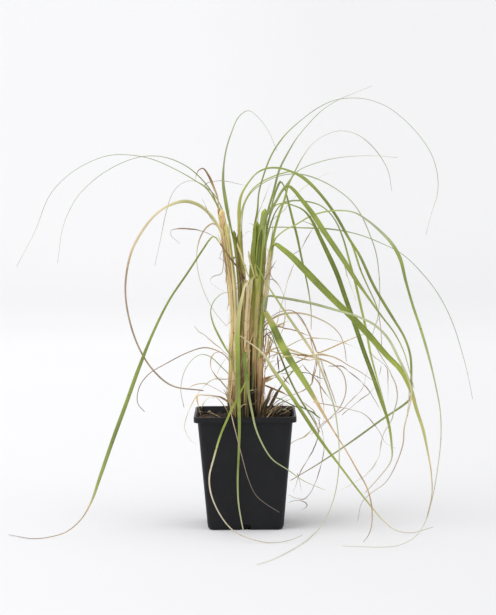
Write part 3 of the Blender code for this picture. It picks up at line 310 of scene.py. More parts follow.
# name, tiller, height of its base, bearing round the tiller in degrees (0 is +X, -90 the front),
# look, which way it faces, widths as (share of its length, width), route of (x, z, y)
LEAVES = (
    ("leaf_left_far", "tiller_02", 258, 110, LIVING, UP_FRONT,
     ((0, 1.8), (0.08, 2.3), (0.15, 1.1), (0.3, 0.95), (0.5, 0.9), (0.7, 0.6), (1, 0.35)),
     ((-20.5, 277, 9), (-25.5, 288, 11), (-33, 299, 14), (-45, 307.5, 19), (-60, 316, 26), (-80, 325, 36),
      (-100, 329, 48), (-120, 328.5, 60), (-140, 321, 70), (-158, 309, 78), (-172, 293, 84),
      (-185, 262, 88), (-201, 232, 90))),
    ("leaf_left_high", "tiller_02", 254, 190, LIVING, UP_FRONT,
     ((0, 1.6), (0.08, 2), (0.2, 1.6), (0.35, 1.2), (0.5, 0.7), (0.75, 0.5), (1, 0.3)),
     ((-22.5, 280, 0.5), (-28, 295, 1), (-36, 306, 0), (-50, 318.5, -6), (-70, 327, -16), (-90, 327.5, -27),
      (-110, 321, -38), (-130, 309, -48), (-148, 291, -56), (-160, 266, -62), (-165, 235, -65))),
    ("leaf_left_back", "tiller_02", 250, 60, GREY_BLADE, UP_FRONT,
     ((0, 1.2), (0.15, 1.2), (0.3, 0.6), (0.5, 0.8), (0.65, 1), (0.85, 0.5), (1, 0.3)),
     ((-17, 274, 13), (-22, 287, 22), (-33, 300.5, 38), (-45, 306, 54), (-55, 303.5, 68),
      (-63, 295, 80), (-69, 277, 92), (-74, 254, 101), (-79, 232, 108))),
    ("leaf_tan_arch", "tiller_01", 254, 235, TAN_ARCH, FRONT,
     ((0, 2.2), (0.05, 3.2), (0.14, 3.6), (0.2, 3.2), (0.26, 2), (0.4, 2.2), (0.55, 1.6), (0.85, 1.5),
      (1, 1)),
     ((-25, 269, -11), (-31, 277, -12.5), (-40, 284.5, -15), (-52, 288, -18), (-66, 284.5, -23),
      (-78, 276.5, -27), (-90, 262, -32), (-100, 243, -36), (-105.3, 215, -38), (-103.5, 190, -38),
      (-95, 161, -37), (-82, 139, -36), (-65, 124.5, -34), (-38, 120, -30))),
    ("leaf_brown_hook", "tiller_01", 271, 150, BROWN_HOOK, FRONT,
     ((0, 1.2), (0.3, 1.3), (0.6, 2.4), (0.8, 1.2), (1, 0.4)),
     ((-23, 290, -6), (-26.5, 300, -7), (-31, 310.5, -8), (-36, 317, -8), (-40, 315, -8), (-42.5, 309, -8))),
    ("leaf_left_floor", "tiller_05", 212, -100, DRYING_FLOOR, FRONT,
     ((0, 2), (0.05, 1.8), (0.1, 1.1), (0.16, 1.7), (0.3, 1.9), (0.4, 2.4), (0.47, 3.5), (0.6, 3.8),
      (0.7, 3.4), (0.76, 2.2), (0.8, 1), (1, 0.4)),
     ((-3.5, 226, -11), (-9, 233, -13.5), (-15, 241, -13.5), (-21, 250, -14), (-26.5, 257, -15),
      (-30, 254.5, -16), (-36, 246, -18), (-50, 225, -23), (-67, 200, -29), (-82, 170, -36),
      (-95, 138, -43), (-106, 108, -49), (-118, 76, -55), (-130, 42, -60), (-138, 20, -63),
      (-147, 5, -65), (-160, -6, -67), (-175, -10.6, -69), (-190, -12, -74), (-211, -8.5, -56))),
    ("leaf_tan_loop", "tiller_02", 244, 215, LOOP, RIGHT_FRONT,
     ((0, 1), (0.15, 1.6), (0.38, 1.5), (0.48, 0.9), (1, 0.5)),
     ((-22.5, 264, -1.5), (-27, 268.3, -1), (-33, 265, -0.5), (-39, 255, 0), (-42, 240, 1), (-40.5, 224, 2),
      (-35, 206, 3), (-25.5, 188.5, 3), (-16.5, 178, 2))),
    ("leaf_top_arch", "tiller_04", 250, 150, LIVING, UP_FRONT,
     ((0, 2.4), (0.1, 3.2), (0.2, 3.8), (0.3, 2.6), (0.4, 1.4), (0.6, 1), (0.8, 0.7), (1, 0.4)),
     ((-13.8, 273, 6), (-16.4, 289, 9.5), (-18.2, 307, 13), (-16, 330, 18), (-11, 347, 26), (-4, 362, 35),
      (4.5, 367.5, 43), (13.5, 361, 52), (22, 349.5, 59), (29, 333, 65))),
    ("leaf_low_loop", "tiller_03", 134, 195, LOW_LOOP, FRONT,
     ((0, 2), (0.35, 2.6), (0.5, 1.8), (0.7, 1), (1, 0.6)),
     ((-13, 150.5, -13), (-17, 157, -14), (-23, 168.5, -15), (-28, 180, -15), (-30, 191, -15),
      (-27, 199.5, -14.5), (-20, 206, -13), (-13, 207.5, -12.5))),
    ("leaf_brown_left", "tiller_02", 132, 155, BROWN_BLADE, UP_FRONT,
     ((0, 1.3), (0.3, 1.5), (0.8, 1.1), (1, 0.6)),
     ((-15, 148, 6), (-22, 154, 10), (-35, 158, 17), (-50, 154, 26), (-70, 144, 38), (-85, 135, 48),
      (-93.5, 124, 54), (-95.5, 109, 60), (-90, 102, 62))),
    ("leaf_curl_left", "tiller_02", 122, 100, GREY_BLADE, UP_FRONT,
     ((0, 1), (0.5, 1.3), (0.8, 0.9), (1, 0.7)),
     ((-15, 135, 11), (-20, 140, 19), (-30, 149.5, 32), (-38, 152, 44), (-46, 148, 56), (-54, 136, 68),
      (-57, 120, 78), (-54.5, 106, 84))),
    ("leaf_front_broad", "tiller_06", 205, -115, BROAD_FRONT, FRONT,
     ((0, 2.5), (0.1, 3), (0.2, 4.2), (0.35, 4.4), (0.5, 3.6), (0.6, 2.8), (0.7, 2), (0.85, 1.5),
      (1, 0.9)),
     ((4, 216.5, -15.5), (1, 213.5, -17), (-1.5, 204, -19), (-4.5, 190, -21), (-6.2, 172, -24),
      (-6.3, 150, -28), (-6, 126, -37), (-5.5, 104, -48.5), (-5.2, 85, -50.5), (-6, 62, -51),
      (-7, 40, -52), (-6.5, 20, -53), (-4, 3, -54), (-2.5, -4.5, -55))),
    ("leaf_front_left", "tiller_06", 124, -55, PALING, FRONT,
     ((0, 2), (0.15, 2.4), (0.3, 2), (0.42, 1.6), (0.6, 1.2), (1, 0.5)),
     ((4.2, 136, -17.5), (1, 127.5, -22), (-5, 116, -32), (-11, 105, -47), (-16, 94, -53), (-22, 80, -57),
      (-28, 60, -62), (-32.3, 42, -67), (-30.5, 26, -73), (-22, 7, -82), (-11, -6, -90), (3, -13, -97),
      (22, -17, -101), (40, -14.5, -95), (50, -10.5, -90))),
    ("leaf_front_tan", "tiller_03", 126, -110, FRONT_TAN, RIGHT_FRONT,
     ((0, 1.4), (0.4, 1.5), (0.7, 1), (1, 0.6)),
     ((-10, 137.5, -15.5), (-12, 123.5, -23), (-13.3, 110, -35), (-12.3, 98, -49), (-8, 80, -57),
      (-3, 60, -60), (2.5, 40, -61), (9, 26, -62), (18, 18, -63), (29, 11, -64))),
    ("leaf_front_right", "tiller_06", 142, -120, FRONT_RIGHT, FRONT,
     ((0, 4), (0.12, 4.6), (0.22, 3.2), (0.35, 2.2), (0.5, 1.6), (0.7, 1.1), (1, 0.5)),
     ((-0.4, 155, -16.5), (-0.4, 146, -22), (2, 127, -29), (4, 112, -40), (6.5, 99, -50), (9, 87, -54),
      (15, 72, -57), (24, 58, -60), (37, 49, -63), (52, 38.5, -66), (70, 30.5, -70))),
    ("leaf_broad_right", "tiller_11", 238, -36, BROAD_RIGHT, BACKWARD,
     ((0, 3), (0.015, 4.8), (0.04, 5.8), (0.12, 6.4), (0.2, 7), (0.42, 6.8), (0.5, 5.6), (0.58, 5),
      (0.66, 3.4), (0.74, 2.8), (0.8, 1.8), (0.88, 1), (1, 0.5)),
     ((25.6, 246.4, -12.2), (26.8, 248.8, -13.8), (28.6, 248.6, -16.2), (31.2, 246.6, -17.8),
      (36, 243, -19.4), (42, 238, -20.7), (52, 228, -24), (66, 214, -28), (80, 200, -32), (95, 185.5, -36),
      (110, 169.5, -40), (125, 152, -44), (139, 137, -48), (147, 121, -51),
      (152.5, 102, -53), (158, 85, -55), (162, 66, -56), (165.5, 45, -57), (166, 25, -57), (161, 3, -57))),
    ("leaf_top_right", "tiller_07", 256, 135, LIVING, UP_FRONT,
     ((0, 3.2), (0.05, 2.6), (0.1, 1.5), (0.25, 1.4), (0.35, 0.8), (0.6, 0.75), (0.85, 0.6), (1, 0.3)),
     ((11.8, 280, 7), (13.2, 295, 9), (18, 312, 14), (25, 329, 22), (36, 345, 32), (50, 358, 44),
      (65, 369, 56), (80, 376, 66), (95, 378, 76), (110, 376.5, 86), (126, 370.5, 95), (141, 359.5, 103),
      (156, 343.5, 110), (166, 327.5, 116), (171, 310, 120), (171, 293, 122), (166, 277, 123),
      (161, 258, 124))),
    ("leaf_top_back", "tiller_09", 256, 100, LIVING, UP_FRONT,
     ((0, 1.8), (0.25, 2.2), (0.38, 1.8), (0.5, 0.9), (0.7, 0.7), (1, 0.35)),
     ((21.5, 280, 15), (26, 295, 21), (31.5, 315, 31), (38.5, 329, 42), (47, 343, 55), (57, 355, 69),
      (69, 367, 85), (83, 376, 99), (97, 382, 112), (112, 388, 124))),
    ("leaf_back_level", "tiller_09", 250, 40, GREY_BLADE, UP_FRONT,
     ((0, 1.5), (0.2, 1.8), (0.35, 1.2), (0.6, 1.2), (0.75, 0.6), (1, 0.4)),
     ((23.5, 275, 17), (30, 290, 30), (38, 302.5, 44), (48, 314, 60), (61, 320, 78), (80, 325, 98),
      (100, 327, 116), (118, 327, 130), (135, 325.5, 142))),
    ("leaf_high_bow", "tiller_11", 238, 85, HIGH_BOW, UP_FRONT,
     ((0, 2.2), (0.05, 2.6), (0.2, 2.4), (0.4, 1.5), (0.5, 0.9), (0.65, 0.8), (0.8, 1), (1, 0.3)),
     ((27.2, 262, -5), (31, 275, -4), (36, 289, -2.5), (39.5, 302, -4), (45, 313, -9), (52, 326, -17),
      (61, 338, -27), (72, 345.5, -37), (86, 349.3, -48), (100, 346, -57), (112, 337, -64),
      (122, 324.5, -69), (128, 312, -72), (130.5, 297, -74))),
    ("leaf_long_fold", "tiller_05", 248, -130, LONG_FOLD, UP_FRONT,
     ((0, 4.2), (0.06, 4.6), (0.1, 2.4), (0.14, 1.4), (0.18, 3), (0.25, 3.6), (0.4, 2.9), (0.55, 3.2),
      (0.62, 2.2), (0.8, 2.2), (0.9, 1.6), (1, 0.8)),
     ((-4.8, 268, -4.5), (-4.6, 282, -4.5), (-2.5, 293, -4), (3.5, 303.5, -2.5), (12, 313, 1),
      (21, 317, 6), (31, 317.3, 12), (40, 315, 17), (50, 310, 21), (62, 300, 25), (72, 288.5, 28),
      (82, 274, 31), (92, 256, 33), (102, 240, 36), (115, 212, 40), (130, 186.5, 43), (142, 166, 46),
      (147, 150, 48), (147.8, 130, 49), (147, 112, 50), (142, 107, 50), (122, 93.5, 50), (95, 74, 50),
      (66, 54.5, 49), (41, 39.5, 48))),
    ("leaf_inner_bow", "tiller_04", 246, 35, FRESH_BLADE, UP_FRONT,
     ((0, 1.6), (0.3, 1.5), (0.45, 2), (0.6, 1.5), (0.7, 2), (0.8, 1.5), (1, 0.6)),
     ((-3.2, 270, 7), (-0.5, 284, 9), (6, 296, 12), (15, 304, 20), (25, 309, 28), (34, 312, 34),
      (43, 313.5, 38), (54, 308, 41), (66, 296, 42), (78, 280.5, 42.5), (88, 263.5, 43), (96, 247, 44),
      (103, 226, 45), (110, 210, 46), (117, 194, 47), (120.5, 176, 48), (121.5, 160, 48))),
    ("leaf_grey_bow", "tiller_05", 250, 50, GREY_BLADE, UP_FRONT,
     ((0, 1.1), (0.25, 1), (0.4, 2), (0.5, 1.3), (0.65, 1.2), (0.8, 0.8), (1, 0.5)),
     ((-1.8, 270, 1.5), (0.4, 284, 2.5), (6, 294.5, 3.5), (14, 301.5, 5.5), (25, 307.5, 13), (38, 311, 25),
      (52, 310.8, 37), (68, 305.5, 46), (83, 297, 53), (95, 287, 58), (104, 274, 62), (111, 258, 65),
      (116.5, 242, 67), (119.3, 222, 68), (119.7, 200, 69), (117, 180, 69), (112.5, 167, 69))),
    ("leaf_far_right", "tiller_10", 250, 75, LIVING, UP_FRONT,
     ((0, 1.6), (0.05, 1.4), (0.14, 1.6), (0.24, 2.4), (0.32, 1.6), (0.45, 1), (0.65, 0.8), (1, 0.4)),
     ((21, 263.5, 5.5), (30, 264.5, 11), (45, 264, 20), (62, 263.3, 31), (80, 262, 44), (100, 258, 55),
      (120, 250.5, 64), (140, 240, 72), (158, 222.5, 79), (172, 204, 84), (184, 180, 88), (193, 152, 91),
      (199, 128, 92), (202, 112, 92))),
    ("leaf_floor_right", "tiller_11", 245, 20, FLOOR_RIGHT, FRONT,
     ((0, 2.2), (0.04, 2.8), (0.1, 2.4), (0.18, 1.4), (0.24, 2), (0.33, 3.6), (0.4, 2.2), (0.5, 2.4),
      (0.57, 1.3), (0.7, 0.8), (1, 0.4)),
     ((28.5, 255, -8.5), (36, 261.5, -7), (46, 266.5, -4), (58, 273.5, -1), (70, 277.5, -2),
      (85, 279, -8), (98, 277, -17), (110, 269.5, -28), (121, 260, -39), (131, 249, -49),
      (138, 236, -56), (143, 216, -64), (149, 195, -69), (156, 174, -75), (163, 150, -81),
      (169, 125, -87), (173.5, 100, -92), (174, 75, -97), (171, 48, -102), (167, 25, -107),
      (161, 3, -113), (152, -11.5, -118), (138, -19.5, -122), (118, -21.8, -125), (100, -21, -121),
      (87, -20.4, -118))),
    ("leaf_back_drop", "tiller_10", 248, 20, CLEAR_BLADE, FRONT,
     ((0, 1.4), (0.1, 1.8), (0.2, 2.4), (0.45, 2.5), (0.62, 2.1), (0.75, 1.5), (0.9, 1), (1, 0.6)),
     ((22.5, 274, 4), (26, 288, 9), (29.5, 299, 14), (32.7, 305, 19), (36, 300.5, 24), (39.5, 287, 29),
      (43, 272, 34), (47, 256, 39), (50, 241, 44), (53.5, 225, 49), (57, 207, 54), (59, 190, 58),
      (59, 175, 61))),
    ("leaf_wide_fall", "tiller_08", 252, -70, WIDE_FALL, FRONT,
     ((0, 4.6), (0.06, 3.6), (0.11, 2.8), (0.17, 2.2), (0.21, 2.6), (0.28, 3.8), (0.36, 5.2), (0.5, 5),
      (0.58, 4), (0.65, 2.4), (0.75, 1.5), (1, 0.5)),
     ((17.5, 271, -11), (23, 279.5, -12.5), (28.5, 287.5, -14), (34, 297, -16), (38.7, 301.3, -17),
      (44, 297.5, -18.5), (51, 289, -20.5), (60, 277.5, -22), (70, 262, -24), (80, 247, -26),
      (90, 232, -27), (98, 219, -28), (109, 203, -29), (121, 186, -30), (133, 170, -31),
      (141, 154, -32), (146, 137, -33), (150, 122, -34))),
    ("leaf_dark_fall", "tiller_08", 250, 40, DARK_FALL, FRONT,
     ((0, 3), (0.05, 2), (0.09, 1.3), (0.17, 1.2), (0.21, 2), (0.26, 3.4), (0.34, 4.6), (0.55, 4.2),
      (0.7, 3.8), (0.78, 2.6), (0.84, 2), (0.9, 1), (1, 0.5)),
     ((22, 272, -2.8), (24.6, 280, -3.2), (29, 284.5, -4.6), (36, 285.8, -7), (43, 284, -9),
      (52, 280, -11), (59, 272, -12), (66, 258, -13), (74, 241, -14), (82, 223, -15), (90, 200, -15.5),
      (98, 177, -16), (106, 153, -16), (114, 131, -16.5), (121, 110, -17), (127, 92, -18), (130, 73, -19),
      (130, 57, -20), (120.5, 43, -20), (107, 28, -20))),
    ("leaf_twist_fall", "tiller_10", 244, -40, TWIST_FALL, RIGHT_FRONT,
     ((0, 3.2), (0.08, 2.4), (0.16, 1.4), (0.3, 1.4), (0.4, 2.6), (0.5, 3.2), (0.6, 4), (0.8, 3.6),
      (0.9, 2.4), (1, 0.8)),
     ((23.5, 266, 0), (28, 278, 2), (34, 285.5, 4), (43, 288, 5.5), (54, 287.5, 7), (66, 284.5, 8),
      (75, 278, 9), (82, 268.5, 9.5), (88, 254, 10), (93, 236, 11), (99, 214, 12), (104, 192, 12),
      (108, 174, 12), (112, 152, 11), (117, 132, 9), (121, 118, 7), (125, 103, 5))),
    ("leaf_pale_sweep", "tiller_11", 192, -95, PALE_SWEEP, UP_FRONT,
     ((0, 2), (0.08, 2.4), (0.25, 2.8), (0.5, 2.6), (0.6, 1.4), (0.75, 1), (1, 0.4)),
     ((20.5, 203.5, -15.5), (30, 202.5, -18.5), (45, 200, -24), (60, 197, -30), (80, 191.5, -38),
      (100, 185.5, -45), (115, 178, -50), (127, 166, -55), (137, 147, -59), (145, 130, -62),
      (148, 118, -63), (145.5, 102, -63), (141.5, 86, -61), (140.5, 72, -59), (135, 55, -56),
      (125, 37, -52), (111, 26.5, -48), (103.5, 18.5, -45), (100, 3, -43))),
    ("leaf_pale_low", "tiller_03", 156, -95, PALE_LOW, FRONT,
     ((0, 1.1), (0.1, 1.2), (0.145, 1.4), (0.16, 2), (0.19, 3), (0.23, 3.6), (0.45, 3.4), (0.52, 2.6),
      (0.6, 1.8), (0.76, 1.5), (0.84, 0.8), (1, 0.4)),
     ((-5, 168.5, -15.5), (3, 163, -17.5), (10, 158, -19.5), (17, 151, -21), (25, 138, -23),
      (35, 124, -26), (45, 109, -29.5), (52, 98, -32.5), (62, 82.5, -37), (72, 68, -42), (84, 52, -47),
      (98, 33, -51), (112, 15, -54), (122, 3, -56), (133, -6, -57), (148, -8.7, -57), (166, -4, -57))),
    ("leaf_yellow_trail", "tiller_08", 214, -110, YELLOW_TRAIL, FRONT,
     ((0, 1.8), (0.1, 2.6), (0.2, 2.8), (0.28, 2), (0.36, 1.4), (0.45, 1), (0.6, 0.75), (1, 0.4)),
     ((9.6, 228.5, -11.5), (9.9, 231.8, -13.5), (12.8, 227.5, -16.5), (19.5, 214.5, -21),
      (30, 198, -27), (42, 180, -31), (54, 163, -33.5),
      (62, 150, -35.5), (68, 137, -37), (74, 121, -38), (79, 105, -40), (82, 87, -42), (83.5, 68, -43),
      (83, 48, -44), (80, 28, -45), (75, 12, -46), (69, 0.5, -48), (62.5, -8, -54), (55, -15, -88),
      (45, -21.5, -124), (34, -27.5, -155), (20, -33.5, -188), (10, -36.5, -204))),
    ("leaf_dark_low", "tiller_11", 181, -80, DARK_LOW, BACKWARD,
     ((0, 3), (0.03, 4.6), (0.06, 6), (0.11, 7), (0.2, 7.1), (0.28, 6.7), (0.37, 5.3), (0.45, 3.2),
      (0.53, 1.6), (0.62, 1.1), (0.75, 1.4), (0.86, 1.2), (1, 0.4)),
     ((17, 188.4, -13.4), (17.3, 190.4, -15.2), (18, 188.8, -17.3), (19.7, 185.8, -18.4),
      (22.3, 181.6, -18.9), (25.3, 176, -19.3), (28.6, 168.5, -20), (33.4, 159.2, -22),
      (41, 146.3, -25.5), (50, 132.6, -31.5), (60, 116, -38.5), (70, 98, -46.5), (80, 81, -54.5),
      (90, 65, -62.5), (100, 47, -71), (108, 32.5, -79), (112.5, 14, -88), (112, -3, -94),
      (109, -11.5, -96.5), (105, -16.4, -97))),
    ("leaf_thin_low", "tiller_12", 164, -35, CLEAR_BLADE, FRONT,
     ((0, 1.3), (0.2, 1.5), (0.4, 1.8), (0.8, 1.8), (1, 0.8)),
     ((19.2, 174.8, 3.5), (22.6, 172.4, 3.5), (25.4, 166, 4), (29, 156, 4.5), (33, 146.5, 5),
      (38, 134, 7), (44, 121, 9.5), (51, 108.5, 12.5), (58, 97.5, 16), (66, 83, 20))),
    ("leaf_brown_stick", "tiller_12", 172, -10, BROWN_STICK, UP_FRONT,
     ((0, 1.3), (0.3, 1.7), (0.5, 1.9), (0.7, 1.2), (0.85, 1.4), (1, 0.6)),
     ((22, 184, 6), (33, 190, 9), (42, 190.5, 12), (49, 185, 15), (56, 172.5, 19), (61.5, 160, 22),
      (64.5, 153, 24), (70, 154.5, 26), (85, 161, 29), (98, 166.5, 32), (105, 169, 33))),
    ("leaf_tan_bow", "tiller_12", 166, 60, TAN_BLADE, UP_FRONT,
     ((0, 1.4), (0.2, 2.4), (0.4, 2.4), (0.55, 2), (0.7, 1.5), (0.85, 0.9), (1, 0.6)),
     ((21, 180.5, 12), (31, 186.5, 17), (43, 188.3, 23), (55, 187, 30), (66, 183, 36), (76, 177.5, 42),
      (84, 169.5, 47), (88.5, 158, 51), (90, 146, 53))),
    ("leaf_tan_hoop", "tiller_12", 138, 5, TAN_BLADE, UP_FRONT,
     ((0, 1.8), (0.3, 2.3), (0.4, 2.2), (0.5, 1.7), (0.65, 1.2), (0.8, 0.9), (1, 0.5)),
     ((21, 149, 8), (35, 153, 12.5), (46, 151.5, 17), (57, 149.5, 21), (68, 147, 25), (79, 142, 29),
      (86, 136, 32), (89.5, 126, 34), (89, 115, 36), (84, 104, 37), (75, 94, 37), (66, 85.5, 36))),
    ("leaf_behind_long", "tiller_09", 232, 95, CLEAR_BLADE, BACKWARD,
     ((0, 2), (0.2, 3), (0.5, 2.6), (0.8, 1.5), (1, 0.6)),
     ((14.5, 248, 17), (12, 255, 28), (9, 255, 42), (7, 244, 62), (5, 218, 82), (4, 180, 97), (3, 135, 106),
      (0, 92, 110), (-8, 55, 110), (-20, 24, 108))),
    ("leaf_behind_left", "tiller_04", 214, 100, LIVING, BACKWARD,
     ((0, 1.8), (0.2, 2.6), (0.5, 2.2), (0.8, 1.3), (1, 0.6)),
     ((-6, 231, 15), (-8, 238, 25), (-10, 236, 38), (-11, 220, 54), (-10, 190, 67), (-9, 155, 75),
      (-10, 120, 79), (-18, 88, 81), (-31, 62, 82))),
    ("leaf_behind_right", "tiller_12", 182, 105, OLIVE_BLADE, BACKWARD,
     ((0, 1.6), (0.2, 2.4), (0.5, 2), (0.8, 1.2), (1, 0.6)),
     ((17, 200, 15), (14.5, 208, 24), (12, 208, 36), (10.5, 192, 50), (10, 162, 61), (10, 128, 67),
      (14, 98, 70), (24, 72, 72), (34, 54, 73))),
    ("leaf_tan_far", "tiller_12", 140, 85, TAN_BLADE, UP_FRONT,
     ((0, 1.4), (0.3, 2.2), (0.5, 1.6), (0.65, 2), (0.8, 1.3), (1, 0.6)),
     ((19.5, 153.5, 15), (32, 158, 24), (44, 154.5, 32), (56, 150.5, 40), (68, 151, 48), (80, 148.5, 56),
      (92, 141.5, 64), (102, 136, 70), (112, 129, 75))),
)

# Thin dead strands: width, age, y at the start, y at the end, and points (x, z) as seen
STRANDS_LEFT = (
    (1.3, 0.95, -16, -13, ((-28, 257.5), (-35, 261), (-43, 263), (-52, 264), (-60, 264), (-64.5, 262.5),
        (-65, 259), (-62, 255), (-57, 250.5))),
    (0.9, 0.85, -4, 6, ((-18, 268), (-20, 278), (-22, 287), (-28, 296), (-35, 302), (-30, 305), (-20, 306),
        (-8, 304), (4, 301))),
    (0.9, 0.8, -6, -2, ((-13, 258), (-13.2, 270), (-12.5, 283))),
    (0.8, 0.85, -10, -16, ((-26, 268), (-30, 274), (-34, 284), (-37, 291))),
    (0.8, 0.82, -9, -14, ((-15, 262), (-19, 252), (-18.5, 240), (-18.5, 230), (-21, 223), (-26, 222),
        (-31, 218), (-29, 215), (-25, 212), (-17, 208))),
    (0.9, 0.8, 12, -2, ((-45, 178), (-40, 172), (-35, 169), (-27, 162), (-20, 156), (-12, 146))),
    (1.1, 0.84, -12, -17, ((-10, 112), (-12, 117), (-14, 119), (-22, 129), (-27, 134), (-30, 140),
        (-30.5, 146), (-29, 151), (-25, 154), (-20, 154), (-15, 152), (-10, 143))),
    (0.8, 0.9, -18, -14, ((-25, 134), (-22, 141), (-17, 148), (-11, 152))),
    (0.8, 0.85, -8, -22, ((-6, 131), (-10, 130), (-20, 130), (-28, 130), (-35, 126), (-37, 127))),
    (0.8, 0.8, -30, -12, ((-50, 122), (-45, 125), (-38, 126), (-33, 125), (-27, 122), (-20, 118),
        (-11, 112))),
    (2.0, 0.88, -12, -34, ((-13, 108), (-18, 112), (-25, 115), (-35, 115.6), (-42, 115.5), (-43, 112),
        (-41.5, 107), (-41, 103), (-39, 98))),
    (0.8, 0.75, -24, -20, ((-39, 104), (-36, 110), (-33, 113), (-28, 115), (-20, 114))),
    (0.9, 0.8, -22, -14, ((-29, 113), (-27, 115), (-20, 108), (-17, 104), (-14, 97))),
    (1.0, 0.7, -26, -24, ((-42, 101), (-40, 102), (-37, 100))),
    (0.9, 0.7, -16, -16, ((-33, 101), (-32, 102), (-30, 101))),
    (0.8, 0.62, -20, -48, ((-20, 132), (-30, 129), (-36, 124), (-42, 117), (-45, 112), (-49, 105),
        (-52, 97), (-54, 90), (-53.5, 85), (-51, 79), (-47, 74), (-42, 71))),
)

STRANDS_TOP = (
    (0.7, 0.62, 14, 100, ((20, 266), (26, 272), (34, 278), (38, 283), (42, 288), (46, 292), (50, 297),
        (58, 303), (72, 311), (82, 313))),
    (1.4, 0.6, 10, 26, ((52, 270), (60, 267), (68, 260), (72, 256), (77, 250), (85, 240), (88, 233),
        (91, 222), (96, 207), (99, 199))),
    (0.7, 0.66, 4, 12, ((12, 266), (13, 278), (16, 285), (19, 292), (21, 298), (24, 304))),
    (0.9, 0.6, -4, 0, ((20, 228), (22, 240), (24, 250), (25, 262), (26, 270))),
    (0.9, 0.9, 2, 8, ((42, 240), (50, 245), (55, 254), (60, 262), (64, 266))),
    (1.2, 0.7, -14, -11, ((44, 232), (40, 222), (37, 212), (35, 205), (33, 197), (31, 190), (28, 178),
        (21, 168))),
    (1.4, 0.94, -12, -14, ((17, 213), (19, 219), (24, 228), (29, 236))),
    (2.6, 0.63, -7, -13, ((-6.3, 251), (-2.5, 240), (0.8, 229), (3.6, 222), (5.6, 216))),
    (1.8, 0.62, -9, -11, ((3.4, 244), (5, 235), (7, 228), (9.2, 220))),
    (1.3, 0.4, -9, -11, ((22.5, 269.5), (20, 269), (18.8, 265), (18.2, 256), (17.5, 246))),
    (1.0, 0.7, -10, -14, ((17, 219), (21, 219), (28, 217), (33, 208), (36, 200), (36, 190), (35, 178),
        (30, 166), (21, 158))),
    (0.7, 0.7, 20, 24, ((121, 186), (119, 183), (117, 180), (115, 174), (113, 169))),
)

